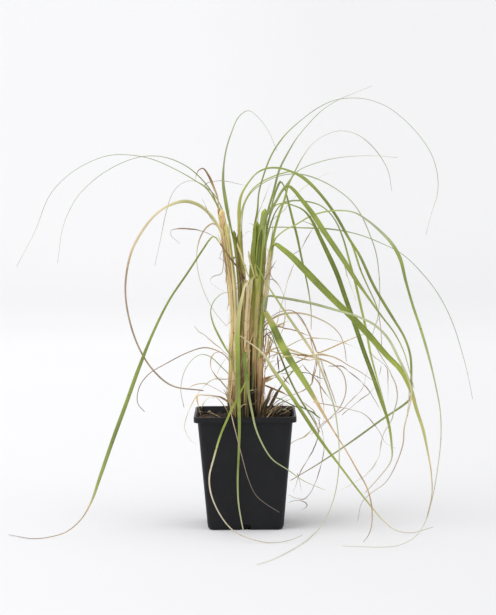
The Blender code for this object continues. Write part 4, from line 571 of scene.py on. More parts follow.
STRANDS_RIGHT = (
    (1.1, 0.74, -38, -30, ((112, 163), (118, 155), (121, 150), (124, 145), (128, 138), (131, 131),
        (134, 124), (135.5, 113), (134, 105), (132, 99), (130, 92), (122, 78), (119, 60), (108, 44),
        (90, 33), (81, 28))),
    (0.9, 0.8, -34, -28, ((112, 153), (115, 149), (118, 147), (122, 143.5), (126, 140), (127, 132),
        (127, 120), (127, 108))),
    (0.7, 0.85, -32, -30, ((121, 141), (120, 135), (119, 131))),
    (0.9, 0.64, -50, -48, ((147, 134), (147, 130), (146, 120), (145, 105), (144, 98), (141, 86))),
    (1.1, 0.9, 27, 40, ((74, 141), (80, 141), (86, 141), (92, 136.5), (98, 131.5), (103, 127), (110, 119),
        (116, 109), (121, 101))),
    (1.0, 0.88, 4, 22, ((60, 109), (72, 107), (82, 105), (88, 103.5), (95, 102), (100, 100.5), (106, 98),
        (112, 92), (116, 87), (120, 81), (125, 72), (134, 67))),
    (0.8, 0.9, 8, 22, ((80, 98), (88, 103), (90, 106), (95, 111), (99, 115), (103, 119), (106, 125),
        (107, 130), (109, 137))),
    (0.9, 0.95, 10, 2, ((86, 97), (94, 104), (99, 108), (104, 112), (110, 116), (115, 122))),
    (1.2, 0.62, 6, 30, ((24, 148), (32, 156), (40, 160), (48, 164), (56, 166), (64, 166), (75, 165),
        (87, 162), (100, 157), (102, 156))),
    (1.5, 0.94, 0, 14, ((27.7, 176), (32.9, 176.4), (36, 174.9), (39.7, 174.4), (44.9, 172.9), (50, 171.3),
        (54.3, 169.2), (58, 167.9))),
    (1.3, 0.8, 14, 18, ((46, 187), (49.6, 182.8), (52.2, 178.6), (55.4, 174.4), (58, 168.7), (59.5, 160.8),
        (61, 154.6), (62, 151.4))),
    (1.9, 0.7, 2, 8, ((21, 168), (25, 173), (27.7, 176), (31, 177.8), (34, 179.6), (36, 181),
        (38.6, 181.6))),
    (1.0, 0.74, 4, 8, ((33.4, 176), (34.5, 179), (35.5, 183), (36.6, 186))),
    (3.6, 0.88, -13, -10, ((16, 129), (20, 130.8), (24, 132.4), (27, 133))),
    (2.6, 0.76, -10, -8, ((17, 127), (20, 128.6), (24, 130.5), (27, 131.5))),
    (2.3, 0.05, -6, 4, ((27, 131), (29.6, 136.2), (31.5, 135.6), (34.5, 138.4), (39.7, 141.5), (46, 144.6),
        (50, 146.4), (52, 147.4))),
    (2.3, 0.9, 4, 8, ((50, 146.2), (53, 147.8), (55.4, 149.6), (59, 151), (62, 151))),
    (1.4, 0.48, -2, -4, ((31, 134), (36.6, 135), (40.7, 136.5), (45, 138), (49, 140.5), (52, 143))),
    (1.5, 1.02, 8, 16, ((49, 136), (51.2, 135.6), (55.4, 135), (60.6, 133.2), (65.8, 131), (70, 129.5))),
    (1.1, 0.84, 10, 20, ((51, 144), (54.8, 138), (59.5, 133.2), (65.8, 125.8), (71, 118), (76, 110.7))),
    (1.3, 0.46, 12, 6, ((46, 141), (42, 136), (38, 131.6), (35, 127), (30.8, 122), (27, 117))),
    (1.0, 0.9, 8, 6, ((33.4, 132.6), (36.6, 128), (40.2, 124.3))),
    (1.1, 0.72, 16, 24, ((65, 152), (65.8, 146.7), (66.3, 139), (66.8, 129.5), (66.8, 123), (68.4, 113),
        (70, 104.4), (69, 88))),
    (1.3, 0.62, 20, 30, ((67, 149), (68, 144), (70.5, 135.8), (74, 127), (76.2, 120), (80, 110),
        (82, 102))),
    (1.3, 0.9, 14, 4, ((64, 152), (63.7, 145), (63.4, 140), (60.6, 130.5), (60, 127), (57.4, 123),
        (52, 119.6), (47, 117.5), (40, 114.5))),
    (1.4, 0.74, -6, 6, ((18, 156), (21.9, 155), (27, 153.8), (34.5, 152.5), (38, 151.5))),
    (1.6, 0.7, 6, 12, ((38, 156.6), (42.8, 154.8), (47.5, 153), (53.3, 151.4), (58.5, 150.4), (64.8, 151.7),
        (70, 151.7), (73.6, 151), (77.5, 149.6), (84, 146))),
    (1.7, 0.78, 8, 18, ((44, 149.5), (53.3, 147), (58.5, 146.7), (62.7, 147.3), (68, 146.7), (72, 145.2),
        (77.5, 143), (82, 140))),
    (1.6, 0.9, 6, 10, ((45, 151.4), (49, 151), (54, 150.2), (59, 150.8))),
    (1.9, 0.62, -29, -29, ((32.5, 150.4), (36.6, 149.6), (40.7, 149.9), (44, 150.8), (47, 151))),
    (1.3, 0.98, -12, -11, ((16.4, 176), (16.8, 168), (16.7, 162), (17, 156), (16.6, 149))),
    (2.1, 0.78, -8, -9, ((21.4, 168), (20.9, 161.4), (20.4, 156.7), (19.3, 151), (18, 143))),
    (1.6, 0.8, -5, -6, ((23.6, 167), (22.5, 162.4), (21.4, 156.7), (21.9, 150), (20, 142))),
    (1.4, 0.9, -4, -4, ((18.5, 171), (21, 168), (23.5, 165), (26, 161))),
    (1.4, 0.74, 2, 6, ((15.5, 146), (18.2, 158), (18.8, 170), (21, 180))),
    (1.2, 0.95, 0, 3, ((16.5, 143), (20, 152), (23.8, 160), (25.4, 168))),
    (1.1, 0.84, -2, 0, ((15.5, 165), (19, 170), (24, 172.4), (29, 177))),
    (1.5, 0.68, -11, -10, ((15.6, 138), (17.6, 147), (17.4, 156), (19.4, 166))),
    (1.3, 1.0, -3, 0, ((28.7, 151), (29.6, 145), (29.9, 139), (31, 135))),
    (1.0, 0.84, -1, 2, ((25.6, 140.4), (30.3, 145.7), (34.5, 149.3), (37, 152))),
    (1.1, 0.52, 3, 4, ((25.4, 166), (28.4, 158.6), (30.8, 152.5))),
    (1.2, 0.8, -2, -3, ((17, 136), (20, 142), (23, 145), (28, 146.6))),
    (0.8, 0.85, 18, 28, ((64, 133), (66, 125), (70, 119), (76, 111), (80, 106))),
    (0.9, 0.8, 20, 30, ((68, 147), (70, 140), (73, 130), (77, 120), (80, 110), (82, 102))),
    (0.8, 0.9, 14, 4, ((64, 152), (63, 148), (62, 140), (60, 132), (59, 125), (55, 122), (50, 119),
        (46, 117), (36, 114))),
    (0.8, 0.85, 20, 26, ((58, 80), (65, 86), (70, 91), (75, 94), (84, 98))),
    (0.7, 0.85, 22, 22, ((66, 98), (66, 96), (66, 84))),
    (1.2, 0.7, -20, 8, ((36, 68), (42, 73), (48, 76), (54, 79), (58, 83), (60, 85), (66, 92))),
    (1.0, 0.9, 34, 30, ((47, 43), (52, 52), (58, 62), (62, 70), (65, 80), (63, 90), (58, 100), (50, 106))),
    (0.8, 0.95, 36, 40, ((50, 48), (47, 43), (45, 35), (42, 28))),
    (0.8, 0.9, 38, 40, ((46, 46), (47, 42), (49, 33), (50, 28))),
    (0.9, 0.9, 44, 26, ((38, 26), (45, 23), (52, 22), (58, 28), (62, 36), (66, 48), (69, 60), (70, 72),
        (68, 85), (64, 95), (60, 102))),
    (0.9, 0.95, 46, 50, ((38, 19), (45, 21), (52, 20), (55, 17), (53, 14), (48, 12))),
    (1.8, 0.95, 13, 15, ((46, 150), (52, 151.5), (58, 150.5), (64, 151))),
)

STRANDS_BASE = (
    (1.4, 0.63, -12, -12, ((-11.3, 168), (-13, 164), (-14, 156), (-14, 146), (-13.2, 136), (-11.6, 128),
        (-10.5, 121))),
    (1.8, 0.12, -12, -4, ((24, 114.5), (26.6, 113.3), (32, 111.8), (36.6, 109.2), (42.3, 106.5),
        (46, 104.4), (50, 102.5))),
    (2.4, 0.17, -20, -10, ((44, 107.5), (50, 104.6), (54.3, 102.4), (59.5, 100.3), (63.7, 97),
        (67.4, 94.5))),
    (1.0, 0.85, -8, -2, ((51.7, 109), (55.4, 106), (59.5, 103), (62.7, 98), (65.8, 94))),
    (1.6, 0.96, -6, -20, ((16, 125), (24, 121.7), (31.3, 118.5), (36.6, 116), (40.7, 113.8), (43, 112))),
    (1.0, 0.62, 20, 24, ((33.4, 101), (36.6, 104.4), (40.7, 106), (43.5, 104))),
    (0.9, 0.66, 16, 22, ((25, 102), (31, 106.5), (37, 107.5), (41, 103))),
    (0.8, 0.6, 8, 10, ((28, 99), (32, 103), (37, 102), (40, 99))),
    (0.8, 0.9, 0, -6, ((24, 104), (28, 107), (35, 110), (42, 112), (48, 112))),
    (2.2, 0.98, -13, -15, ((15, 97), (18, 104), (21, 111), (25, 118))),
    (2.2, 1.2, -8, -6, ((14, 98), (16.7, 107), (19.3, 112.8), (22.5, 117.5), (25, 121))),
    (2.4, 0.02, -3, -3, ((25, 112), (28.6, 118), (31.3, 122), (34, 124.5))),
    (2.4, 0.92, -17.5, -17, ((13, 100), (15, 111), (16.8, 124), (17.8, 136), (18.2, 146))),
    (1.8, 0.8, -13, -17, ((-10, 98), (-12.6, 105), (-15.2, 114), (-17, 121))),
    (1.5, 0.92, -11, -16, ((-8, 97), (-13, 108), (-19, 121))),
    (2.2, 0.7, -12, -13, ((-10, 100), (-12.8, 112), (-14.2, 124), (-14.6, 136))),
    (1.3, 0.66, -12, -18, ((-9, 99), (-11, 110), (-15, 119), (-16.5, 127))),
    (0.8, 0.64, -13, -15, ((8, 172), (6, 166), (4, 161), (3, 158))),
    (0.9, 0.62, -12.5, -13, ((4, 119), (5, 120), (8.5, 120.6), (12, 120))),
    (0.9, 0.62, -13.5, -14, ((-4, 104), (-3, 106), (0, 107.4), (2, 107))),
    (0.8, 0.9, -14, -16, ((4, 202), (4.6, 199), (6, 194), (7, 189))),
)

# Loose strips of old sheath: shoot, lowest and highest z, bearing round the shoot and how far it drifts in
# degrees, width, how far its top and its foot peel off, age, and how far its colour is lost
SHEATHS = (
    ("tiller_06", 158, 216, -128, 12, 3.2, 1.2, 0.6, 0.65, 0.3),
    ("tiller_06", 148, 212, -62, -8, 2.4, 0.6, 0.4, 0.77, 0.1),
    ("tiller_06", 118, 158, -48, 0, 1.2, 0.5, 0.3, 0.72, 0.0),
    ("tiller_06", 203, 223, -70, 14, 3.0, 3.6, 0.3, 0.63, 0.3),
    ("tiller_06", 205, 220, -130, -16, 2.4, 3.0, 0.2, 0.7, 0.1),
    ("tiller_05", 212, 232, -62, 10, 2.4, 3.0, 0.3, 0.6, 0.3),
    ("tiller_05", 222, 262, -95, -12, 2.6, 0.5, 0.4, 0.4, 0.0),
    ("tiller_05", 138, 224, -138, 0, 3.0, 0.6, 0.4, 0.62, 0.0),
    ("tiller_04", 170, 238, -112, 0, 2.6, 0.5, 0.4, 0.56, 0.0),
    ("tiller_01", 150, 264, -108, 10, 2.0, 0.5, 0.3, 0.62, 0.15),
    ("tiller_01", 215, 272, -70, 8, 1.6, 0.8, 0.3, 0.78, 0.0),
    ("tiller_01", 258, 280, -80, 0, 1.4, 0.2, 0.3, 0.8, 0.0),
    ("tiller_03", 128, 245, -95, 8, 1.8, 0.4, 0.8, 0.61, 0.15),
    ("tiller_03", 176, 262, -50, 8, 1.5, 0.6, 0.5, 0.5, 0.1),
    ("tiller_03", 104, 176, -150, 6, 1.6, 0.5, 0.9, 0.83, 0.0),
    ("tiller_07", 214, 268, -112, 4, 3.4, 0.6, 0.5, 0.34, 0.0),
    ("tiller_08", 120, 146, -122, 0, 1.8, 0.8, 0.5, 0.36, 0.4),
    ("tiller_08", 166, 216, -72, 6, 2.0, 0.9, 0.5, 0.5, 0.0),
    ("tiller_08", 220, 264, -104, 6, 3.4, 0.4, 0.4, 0.02, 0.0),
    ("tiller_08", 206, 274, -55, 4, 2.6, 0.4, 0.4, 0.38, 0.0),
    ("tiller_10", 122, 204, -84, 6, 2.2, 0.6, 0.4, 0.5, 0.1),
    ("tiller_10", 204, 262, -70, 4, 2.6, 1.4, 0.4, 0.33, 0.0),
    ("tiller_11", 104, 138, -102, 6, 2.4, 1.2, 0.2, 0.88, 0.1),
    ("tiller_11", 188, 246, -88, 4, 1.5, 0.6, 0.3, 0.63, 0.4),
)


def colour_setting(name, description, default):
    return FloatVectorProperty(name=name, description=description, subtype="COLOR", size=3, min=0.0, max=1.0,
                               default=default)


def length_setting(name, description, least, most, default):
    return FloatProperty(name=name, description=description, unit="LENGTH", min=least, max=most,
                         default=default)


def share_setting(name, description, least, most, default):
    return FloatProperty(name=name, description=description, subtype="FACTOR", min=least, max=most,
                         default=default)


def count_setting(name, description, least, most, default):
    return IntProperty(name=name, description=description, min=least, max=most, default=default)


class PotSettings(bpy.types.PropertyGroup):
    colour: colour_setting("Plastic", "Colour of the pot's plastic", (0.0060, 0.0063, 0.0075))
    roughness: share_setting("Roughness", "How dull the plastic is", 0.0, 1.0, 0.34)
    corner_steps: count_setting("Corner steps", "Faces round each upright corner", 2, 24, 10)


class SoilSettings(bpy.types.PropertyGroup):
    colour: colour_setting("Soil", "Colour of the damp potting mix", (0.022, 0.014, 0.010))
    bark_colour: colour_setting("Bark", "Colour of the bark litter", (0.16, 0.075, 0.040))
    lump_height: length_setting("Lump height", "Height of the soil's small lumps", 0.0, 0.005, 0.0016)
    cells: count_setting("Cells", "Cells of the soil's surface along each side", 20, 240, 110)
    crumb_density: FloatProperty(name="Crumbs", description="Crumbs on a square metre of soil",
                                 min=0.0, default=420000.0)
    chip_density: FloatProperty(name="Chips", description="Bark chips on a square metre of soil",
                                min=0.0, default=60000.0)
    fibre_density: FloatProperty(name="Fibres", description="Dead fibres on a square metre of soil",
                                 min=0.0, default=15000.0)


class ShootSettings(bpy.types.PropertyGroup):
    wall: length_setting("Sheath wall", "Half the thickness of a shoot's rolled sheath",
                         0.00005, 0.001, 0.00022)
    overlap: share_setting("Overlap", "How far a sheath's outer edge stands off its inner one",
                           0.0, 0.3, 0.07)
    round_steps: count_setting("Round steps", "Points round a shoot's section", 8, 64, 36)
    strips: count_setting("Loose strips", "Dry strips of old sheath round the shoots", 0, 400, 90)
    curls: count_setting("Curls", "Fine dry curls that stand off the shoots", 0, 400, 70)
    twigs: count_setting("Twigs", "Short dead stalks that fan out round the shoots' feet", 0, 200, 18)


class BladeSettings(bpy.types.PropertyGroup):
    thickness: length_setting("Thickness", "Half the thickness of a blade at its midrib",
                              0.00005, 0.001, 0.00019)
    channel: FloatProperty(name="Channel", description="Angle that a blade's section curls through",
                           subtype="ANGLE", min=0.0, max=3.0, default=0.9)
    crease: share_setting("Crease", "Slope of a blade's halves at its midrib", 0.0, 1.0, 0.16)
    ripple: share_setting("Ripple", "Waviness of the margins as a share of the width", 0.0, 1.0, 0.16)
    sheath_length: length_setting("Sheath", "Length of the sheath below a blade", 0.0, 0.1, 0.026)
    round_steps: count_setting("Round steps", "Points round a blade's section", 6, 48, 14)
    deep: colour_setting("Deep green", "Colour of the deepest green blades", (0.080, 0.108, 0.012))
    green: colour_setting("Green", "Colour of most blades", (0.205, 0.262, 0.042))
    fresh: colour_setting("Fresh green", "Colour of the yellow-green blades", (0.345, 0.415, 0.062))
    olive: colour_setting("Olive", "Colour of ageing blades", (0.440, 0.420, 0.118))
    straw: colour_setting("Straw", "Colour of dry pale blades", (0.800, 0.640, 0.310))
    tan: colour_setting("Tan", "Colour of dry tan blades", (0.660, 0.450, 0.200))
    brown: colour_setting("Brown", "Colour of dead blades", (0.270, 0.140, 0.052))
    # the darkened colour is also the painted shade at the feet of the shoots
    darkened: colour_setting("Darkened", "Colour of the oldest dead sheaths", (0.040, 0.027, 0.012))
    roughness: share_setting("Roughness", "How dull the blades are", 0.0, 1.0, 0.46)


class StrandSettings(bpy.types.PropertyGroup):
    flatness: share_setting("Flatness", "Thickness of a dead strand as a share of its width", 0.05, 1.0, 0.4)
    kink: length_setting("Kink", "How far a strand strays from its route", 0.0, 0.005, 0.0007)
    step: length_setting("Step", "Spacing of the points along a strand", 0.0005, 0.01, 0.0018)


class StageSettings(bpy.types.PropertyGroup):
    # the backdrop is paler than the floor as painted light, making up for the lamps' light falling off at
    # the back
    floor_colour: colour_setting("Floor", "Colour of the floor", (0.733, 0.733, 0.748))
    backdrop_colour: colour_setting("Backdrop", "Colour of the backdrop", (0.905, 0.905, 0.915))
    key_power: FloatProperty(name="Key light", description="Power of the large soft lamp", unit="POWER",
                             min=0.0, default=36.0)
    fill_power: FloatProperty(name="Fill light", description="Power of the lamp on the right",
                              unit="POWER", min=0.0, default=10.0)
    sky: FloatProperty(name="Surroundings", description="Brightness of the white surroundings",
                       min=0.0, default=0.97)
    lens: FloatProperty(name="Lens", description="Focal length on a 36 mm sensor, in millimetres",
                        min=10.0, default=133.26)
    pitch: FloatProperty(name="Pitch", description="How far the camera looks down", subtype="ANGLE",
                         default=math.radians(4.026))
    roll: FloatProperty(name="Roll", description="How far the camera leans", subtype="ANGLE",
                        default=math.radians(0.338))


def settings():
    return bpy.context.scene.grass_clump


def smooth_step(value):
    """0 to 1 with soft ends."""
    share = min(max(value, 0.0), 1.0)
    return share * share * (3 - 2 * share)


def feed(tree, socket, value):
    """Links an input to an output, or gives it a plain value."""
    if isinstance(value, bpy.types.NodeSocket):
        tree.links.new(value, socket)
    else:
        socket.default_value = value


def add_node(tree, kind, inputs=None, **options):
    """A node whose inputs are given values or linked to sockets, placed after those already there."""
    made = tree.nodes.new(kind)
    index = len(tree.nodes)
    made.location = (210 * (index // 5), -200 * (index % 5))
    for key, value in options.items():
        setattr(made, key, value)
    for key, value in (inputs or {}).items():
        feed(tree, made.inputs[key], value)
    return made


def output_of(tree, kind, inputs=None, **options):
    """The first output of a new node."""
    return add_node(tree, kind, inputs, **options).outputs[0]


def maths(tree, operation, *terms):
    return output_of(tree, "ShaderNodeMath", dict(enumerate(terms)), operation=operation)


def vector_maths(tree, operation, *terms):
    return output_of(tree, "ShaderNodeVectorMath", dict(enumerate(terms)), operation=operation)


def times(tree, first, *others):
    product = first
    for factor in others:
        product = maths(tree, "MULTIPLY", product, factor)
    return product


def plus(tree, first, second):
    return maths(tree, "ADD", first, second)


def minus(tree, first, second):
    return maths(tree, "SUBTRACT", first, second)


def scaled(tree, vector, factor):
    return output_of(tree, "ShaderNodeVectorMath", {"Vector": vector, "Scale": factor}, operation="SCALE")


def xyz(tree, x, y, z):
    """A vector of three values."""
    return output_of(tree, "ShaderNodeCombineXYZ", {"X": x, "Y": y, "Z": z})


def parts_of(tree, vector):
    """The three values of a vector."""
    return add_node(tree, "ShaderNodeSeparateXYZ", {0: vector}).outputs


def noise_at(tree, vector, scale, detail=2.0, rough=0.5):
    inputs = {"Vector": vector, "Scale": scale, "Detail": detail, "Roughness": rough}
    return add_node(tree, "ShaderNodeTexNoise", inputs).outputs["Fac"]


def stray_at(tree, place, scale, detail):
    """A random way at each place, of up to half a unit along each axis."""
    inputs = {"Vector": place, "Scale": scale, "Detail": detail}
    wide = add_node(tree, "ShaderNodeTexNoise", inputs).outputs["Color"]
    return vector_maths(tree, "SUBTRACT", wide, (0.5, 0.5, 0.5))


def chance(tree, least, most, seed):
    """A random number for each copy."""
    return add_node(tree, "FunctionNodeRandomValue", {2: least, 3: most, "Seed": seed},
                    data_type="FLOAT").outputs[1]


def moved(tree, geometry, **change):
    """The geometry with a new Position or an Offset."""
    return output_of(tree, "GeometryNodeSetPosition", {"Geometry": geometry, **change})


def named(tree, name, kind="FLOAT_VECTOR"):
    """A named attribute's value."""
    return output_of(tree, "GeometryNodeInputNamedAttribute", {"Name": name}, data_type=kind)


def stored(tree, geometry, name, value, kind="FLOAT_VECTOR", domain="POINT"):
    inputs = {"Geometry": geometry, "Name": name, "Value": value}
    return output_of(tree, "GeometryNodeStoreNamedAttribute", inputs, data_type=kind, domain=domain)


def new_tree(name, sizes):
    """A Geometry Nodes tree with inputs of (label, kind of socket, default), and what its inputs give."""
    tree = bpy.data.node_groups.new(name, "GeometryNodeTree")
    tree.interface.new_socket("Geometry", in_out="INPUT", socket_type="NodeSocketGeometry")
    for label, kind, default in sizes:
        socket = tree.interface.new_socket(label, in_out="INPUT", socket_type="NodeSocket" + kind)
        if default is not None:
            socket.default_value = default
    tree.interface.new_socket("Geometry", in_out="OUTPUT", socket_type="NodeSocketGeometry")
    return tree, add_node(tree, "NodeGroupInput").outputs


def end_tree(tree, geometry, finish):
    """Realized, smooth and painted, as every tree here ends."""
    real = output_of(tree, "GeometryNodeRealizeInstances", {"Geometry": geometry})
    rounded = output_of(tree, "GeometryNodeSetShadeSmooth", {"Geometry": real})
    painted = output_of(tree, "GeometryNodeSetMaterial", {"Geometry": rounded, "Material": finish})
    add_node(tree, "NodeGroupOutput", {"Geometry": painted})
    return tree


def blade_tree():
    """Sweeps a thin section along a line of points: flat, creased, curled or rolled right round.

    The points carry side and up (directions), span (half width, half thickness, curl per metre), look
    (age, distance along, crease) and wear (colour lost, streakiness, which piece).
    """
    tree = bpy.data.node_groups.get("Blade along a line")
    if tree:
        return tree
    tree, given = new_tree("Blade along a line", (
        ("Round Steps", "Int", 14), ("Ripple", "Float", 0.15), ("Overlap", "Float", 0.0),
        ("Seed", "Float", 0.0), ("Finish", "Material", None),
    ))
    line = given["Geometry"]
    columns = plus(tree, given["Round Steps"], 1.0)
    count = add_node(tree, "GeometryNodeAttributeDomainSize", {"Geometry": line}).outputs["Point Count"]
    grid = output_of(tree, "GeometryNodeMeshGrid", {"Vertices X": count, "Vertices Y": columns})
    index = output_of(tree, "GeometryNodeInputIndex")
    station = maths(tree, "FLOOR", maths(tree, "DIVIDE", plus(tree, index, 0.5), columns))
    column = minus(tree, index, times(tree, station, columns))

    def at_station(value):
        inputs = {"Geometry": line, "Value": value, "Index": station}
        return output_of(tree, "GeometryNodeSampleIndex", inputs, data_type="FLOAT_VECTOR")

    place = at_station(output_of(tree, "GeometryNodeInputPosition"))
    side = at_station(named(tree, "side"))
    up = at_station(named(tree, "up"))
    half_width, half_thickness, curl = parts_of(tree, at_station(named(tree, "span")))
    age, along, crease = parts_of(tree, at_station(named(tree, "look")))
    turn = times(tree, maths(tree, "DIVIDE", column, given["Round Steps"]), math.tau)
    across = maths(tree, "COSINE", turn)
    through = maths(tree, "SINE", turn)
    reach = maths(tree, "ABSOLUTE", across)

    # the curled section: an arc of the given curl, whose radius grows a little with Overlap
    bend = maths(tree, "MAXIMUM", curl, 1.0)
    angle = times(tree, across, half_width, bend)
    radius = maths(tree, "DIVIDE", 1.0, bend)
    spread = maths(tree, "MULTIPLY_ADD", maths(tree, "DIVIDE", angle, math.pi), given["Overlap"], 1.0)
    outwards = vector_maths(tree, "ADD", scaled(tree, up, maths(tree, "COSINE", angle)),
                            scaled(tree, side, maths(tree, "SINE", angle)))
    arc = vector_maths(tree, "SUBTRACT", scaled(tree, outwards, times(tree, radius, spread)),
                       scaled(tree, up, radius))

    # thin towards the margins, creased at the midrib, with wavy margins
    depth = times(tree, through, half_thickness, minus(tree, 1.0, times(tree, reach, MARGIN_THINNING)))
    drop = times(tree, reach, half_width, crease)
    wave_at = xyz(tree, times(tree, along, WAVES_PER_METRE), across, given["Seed"])
    wave = times(tree, minus(tree, noise_at(tree, wave_at, 1.0, 1.0), 0.5), times(tree, reach, reach),
                 half_width, given["Ripple"])
    lift = minus(tree, plus(tree, depth, wave), drop)
    point = vector_maths(tree, "ADD", vector_maths(tree, "ADD", place, arc), scaled(tree, outwards, lift))
    above_floor = vector_maths(tree, "MAXIMUM", point, (-10.0, -10.0, 0.0001))
    kept = moved(tree, grid, Position=above_floor)
    kept = stored(tree, kept, "blade", xyz(tree, across, along, age))
    kept = stored(tree, kept, "wear", at_station(named(tree, "wear")))
    closed = output_of(tree, "GeometryNodeMergeByDistance", {"Geometry": kept, "Distance": 0.000002})
    return end_tree(tree, closed, given["Finish"])


def strand_tree():
    """Sweeps a flattened tube along each line of points, with a little stray and random turns."""
    tree = bpy.data.node_groups.get("Dead strands")
    if tree:
        return tree
    tree, given = new_tree("Dead strands", (
        ("Step", "Float", 0.0018), ("Flatness", "Float", 0.4), ("Kink", "Float", 0.0007),
        ("Finish", "Material", None),
    ))
    curve = output_of(tree, "GeometryNodeMeshToCurve", {"Mesh": given["Geometry"]})
    curve = output_of(tree, "GeometryNodeResampleCurve", {"Curve": curve, "Length": given["Step"]},
                      mode="LENGTH")
    along = add_node(tree, "GeometryNodeSplineParameter").outputs["Length"]
    place = output_of(tree, "GeometryNodeInputPosition")
    stray = scaled(tree, stray_at(tree, place, 130.0, 2.0), times(tree, given["Kink"], 2.0))
    curve = moved(tree, curve, Offset=stray)
    roll = times(tree, noise_at(tree, place, 40.0, 0.0), STRAND_ROLL)
    curve = output_of(tree, "GeometryNodeSetCurveTilt", {"Curve": curve, "Tilt": roll})
    curve = stored(tree, curve, "blade", xyz(tree, 0.4, along, named(tree, "age", "FLOAT")))
    curve = stored(tree, curve, "wear", xyz(tree, named(tree, "lost", "FLOAT"), 0.3, roll))
    ring = output_of(tree, "GeometryNodeCurvePrimitiveCircle", {"Resolution": 7, "Radius": 1.0})
    ring = output_of(tree, "GeometryNodeTransform",
                     {"Geometry": ring, "Scale": xyz(tree, 1.0, given["Flatness"], 1.0)})
    tube = output_of(tree, "GeometryNodeCurveToMesh",
                     {"Curve": curve, "Profile Curve": ring, "Scale": named(tree, "half", "FLOAT"),
                      "Fill Caps": True})
    return end_tree(tree, tube, given["Finish"])


def litter_tree():
    """Strews copies of a grain over a surface, thicker where its attribute is higher."""
    tree = bpy.data.node_groups.get("Litter")
    if tree:
        return tree
    tree, given = new_tree("Litter", (
        ("Grain", "Object", None), ("Where", "String", "even"), ("Density", "Float", 50000.0),
        ("Least Size", "Float", 0.5), ("Greatest Size", "Float", 1.0), ("Tumble", "Float", 3.1416),
        ("Rise", "Float", 0.0), ("Roughen", "Float", 0.0004), ("Seed", "Int", 1),
        ("Finish", "Material", None),
    ))
    seed = given["Seed"]
    density = times(tree, named(tree, given["Where"], "FLOAT"), given["Density"])
    spread = output_of(tree, "GeometryNodeDistributePointsOnFaces",
                       {"Mesh": given["Geometry"], "Density": density, "Seed": seed})
    grain = add_node(tree, "GeometryNodeObjectInfo", {"Object": given["Grain"]}).outputs["Geometry"]
    tumble = given["Tumble"]
    back = times(tree, tumble, -1.0)
    turn = output_of(tree, "FunctionNodeRandomValue",
                     {0: xyz(tree, back, back, 0.0), 1: xyz(tree, tumble, tumble, math.tau), "Seed": seed},
                     data_type="FLOAT_VECTOR")
    size = chance(tree, given["Least Size"], given["Greatest Size"], plus(tree, seed, 7.0))
    points = moved(tree, spread, Offset=xyz(tree, 0.0, 0.0, given["Rise"]))
    grains = output_of(tree, "GeometryNodeInstanceOnPoints",
                       {"Points": points, "Instance": grain, "Rotation": turn, "Scale": size})
    tone = chance(tree, 0.0, 1.0, plus(tree, seed, 13.0))
    grains = stored(tree, grains, "tone", tone, "FLOAT", "INSTANCE")
    real = output_of(tree, "GeometryNodeRealizeInstances", {"Geometry": grains})
    lumps = stray_at(tree, output_of(tree, "GeometryNodeInputPosition"), 900.0, 1.0)
    rough = moved(tree, real, Offset=scaled(tree, lumps, given["Roughen"]))
    return end_tree(tree, rough, given["Finish"])


def link_to_scene(made):
    bpy.context.scene.collection.objects.link(made)
    return made


def grow(name, mesh, tree, values):
    """Runs a tree on a mesh and keeps the result as a plain mesh piece."""
    piece = link_to_scene(bpy.data.objects.new(name, mesh))
    modifier = piece.modifiers.new(tree.name, "NODES")
    modifier.node_group = tree
    for item in tree.interface.items_tree:
        if item.in_out == "INPUT" and item.name in values:
            modifier[item.identifier] = values[item.name]
    graph = bpy.context.evaluated_depsgraph_get()
    made = bpy.data.meshes.new_from_object(piece.evaluated_get(graph), preserve_all_data_layers=True,
                                           depsgraph=graph)
    piece.modifiers.clear()
    piece.data = made
    made.name = name
    return piece


def turn_outwards(mesh, closed=True):
    """Faces outwards, judged by the volume of a single closed skin."""
    bm = bmesh.new()
    bm.from_mesh(mesh)
    bmesh.ops.recalc_face_normals(bm, faces=bm.faces)
    if closed and bm.calc_volume(signed=True) < 0:
        bmesh.ops.reverse_faces(bm, faces=bm.faces)
    bm.to_mesh(mesh)
    bm.free()


def settle(piece, slot, *nodes):
    """The piece rides on the plant's one body and stands for the nodes; its slot is not used."""
    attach(piece, BODY)
    if nodes:
        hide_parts(*nodes)
    return piece


def new_material(name):
    material = bpy.data.materials.new(name)
    material.use_nodes = True
    return material, material.node_tree


def end_material(material, colour, roughness, reflection=0.5, relief=None):
    """Wires a material's colour, roughness and reflection, and its relief of (strength, depth, height)."""
    tree = material.node_tree
    shader = tree.nodes["Principled BSDF"]
    feed(tree, shader.inputs["Base Color"], colour)
    feed(tree, shader.inputs["Roughness"], roughness)
    feed(tree, shader.inputs["Specular IOR Level"], reflection)
    if relief:
        strength, depth, height = relief
        bump = output_of(tree, "ShaderNodeBump", {"Strength": strength, "Distance": depth, "Height": height})
        feed(tree, shader.inputs["Normal"], bump)
    return material


def colour_ramp(tree, factor, stops):
    made = add_node(tree, "ShaderNodeValToRGB", {"Fac": factor})
    elements = made.color_ramp.elements
    while len(elements) < len(stops):
        elements.new(1.0)
    for element, (position, colour) in zip(elements, stops):
        element.position = position
        element.color = (*colour, 1.0)
    return made.outputs["Color"]


def mixed(tree, factor, first, second, mode="MIX"):
    return add_node(tree, "ShaderNodeMix", {"Factor": factor, 6: first, 7: second},
                    data_type="RGBA", blend_type=mode).outputs[2]


def toned(tree, colour, tone):
    """The colour multiplied by a tone."""
    return mixed(tree, 1.0, colour, tone, "MULTIPLY")


def ranged(tree, value, low, high, to_low=0.0, to_high=1.0):
    inputs = {"Value": value, "From Min": low, "From Max": high, "To Min": to_low, "To Max": to_high}
    return output_of(tree, "ShaderNodeMapRange", inputs)


def object_place(tree):
    return add_node(tree, "ShaderNodeTexCoord").outputs["Object"]


def carried_by(tree, name):
    """The outputs of a mesh attribute."""
    return add_node(tree, "ShaderNodeAttribute", attribute_name=name).outputs


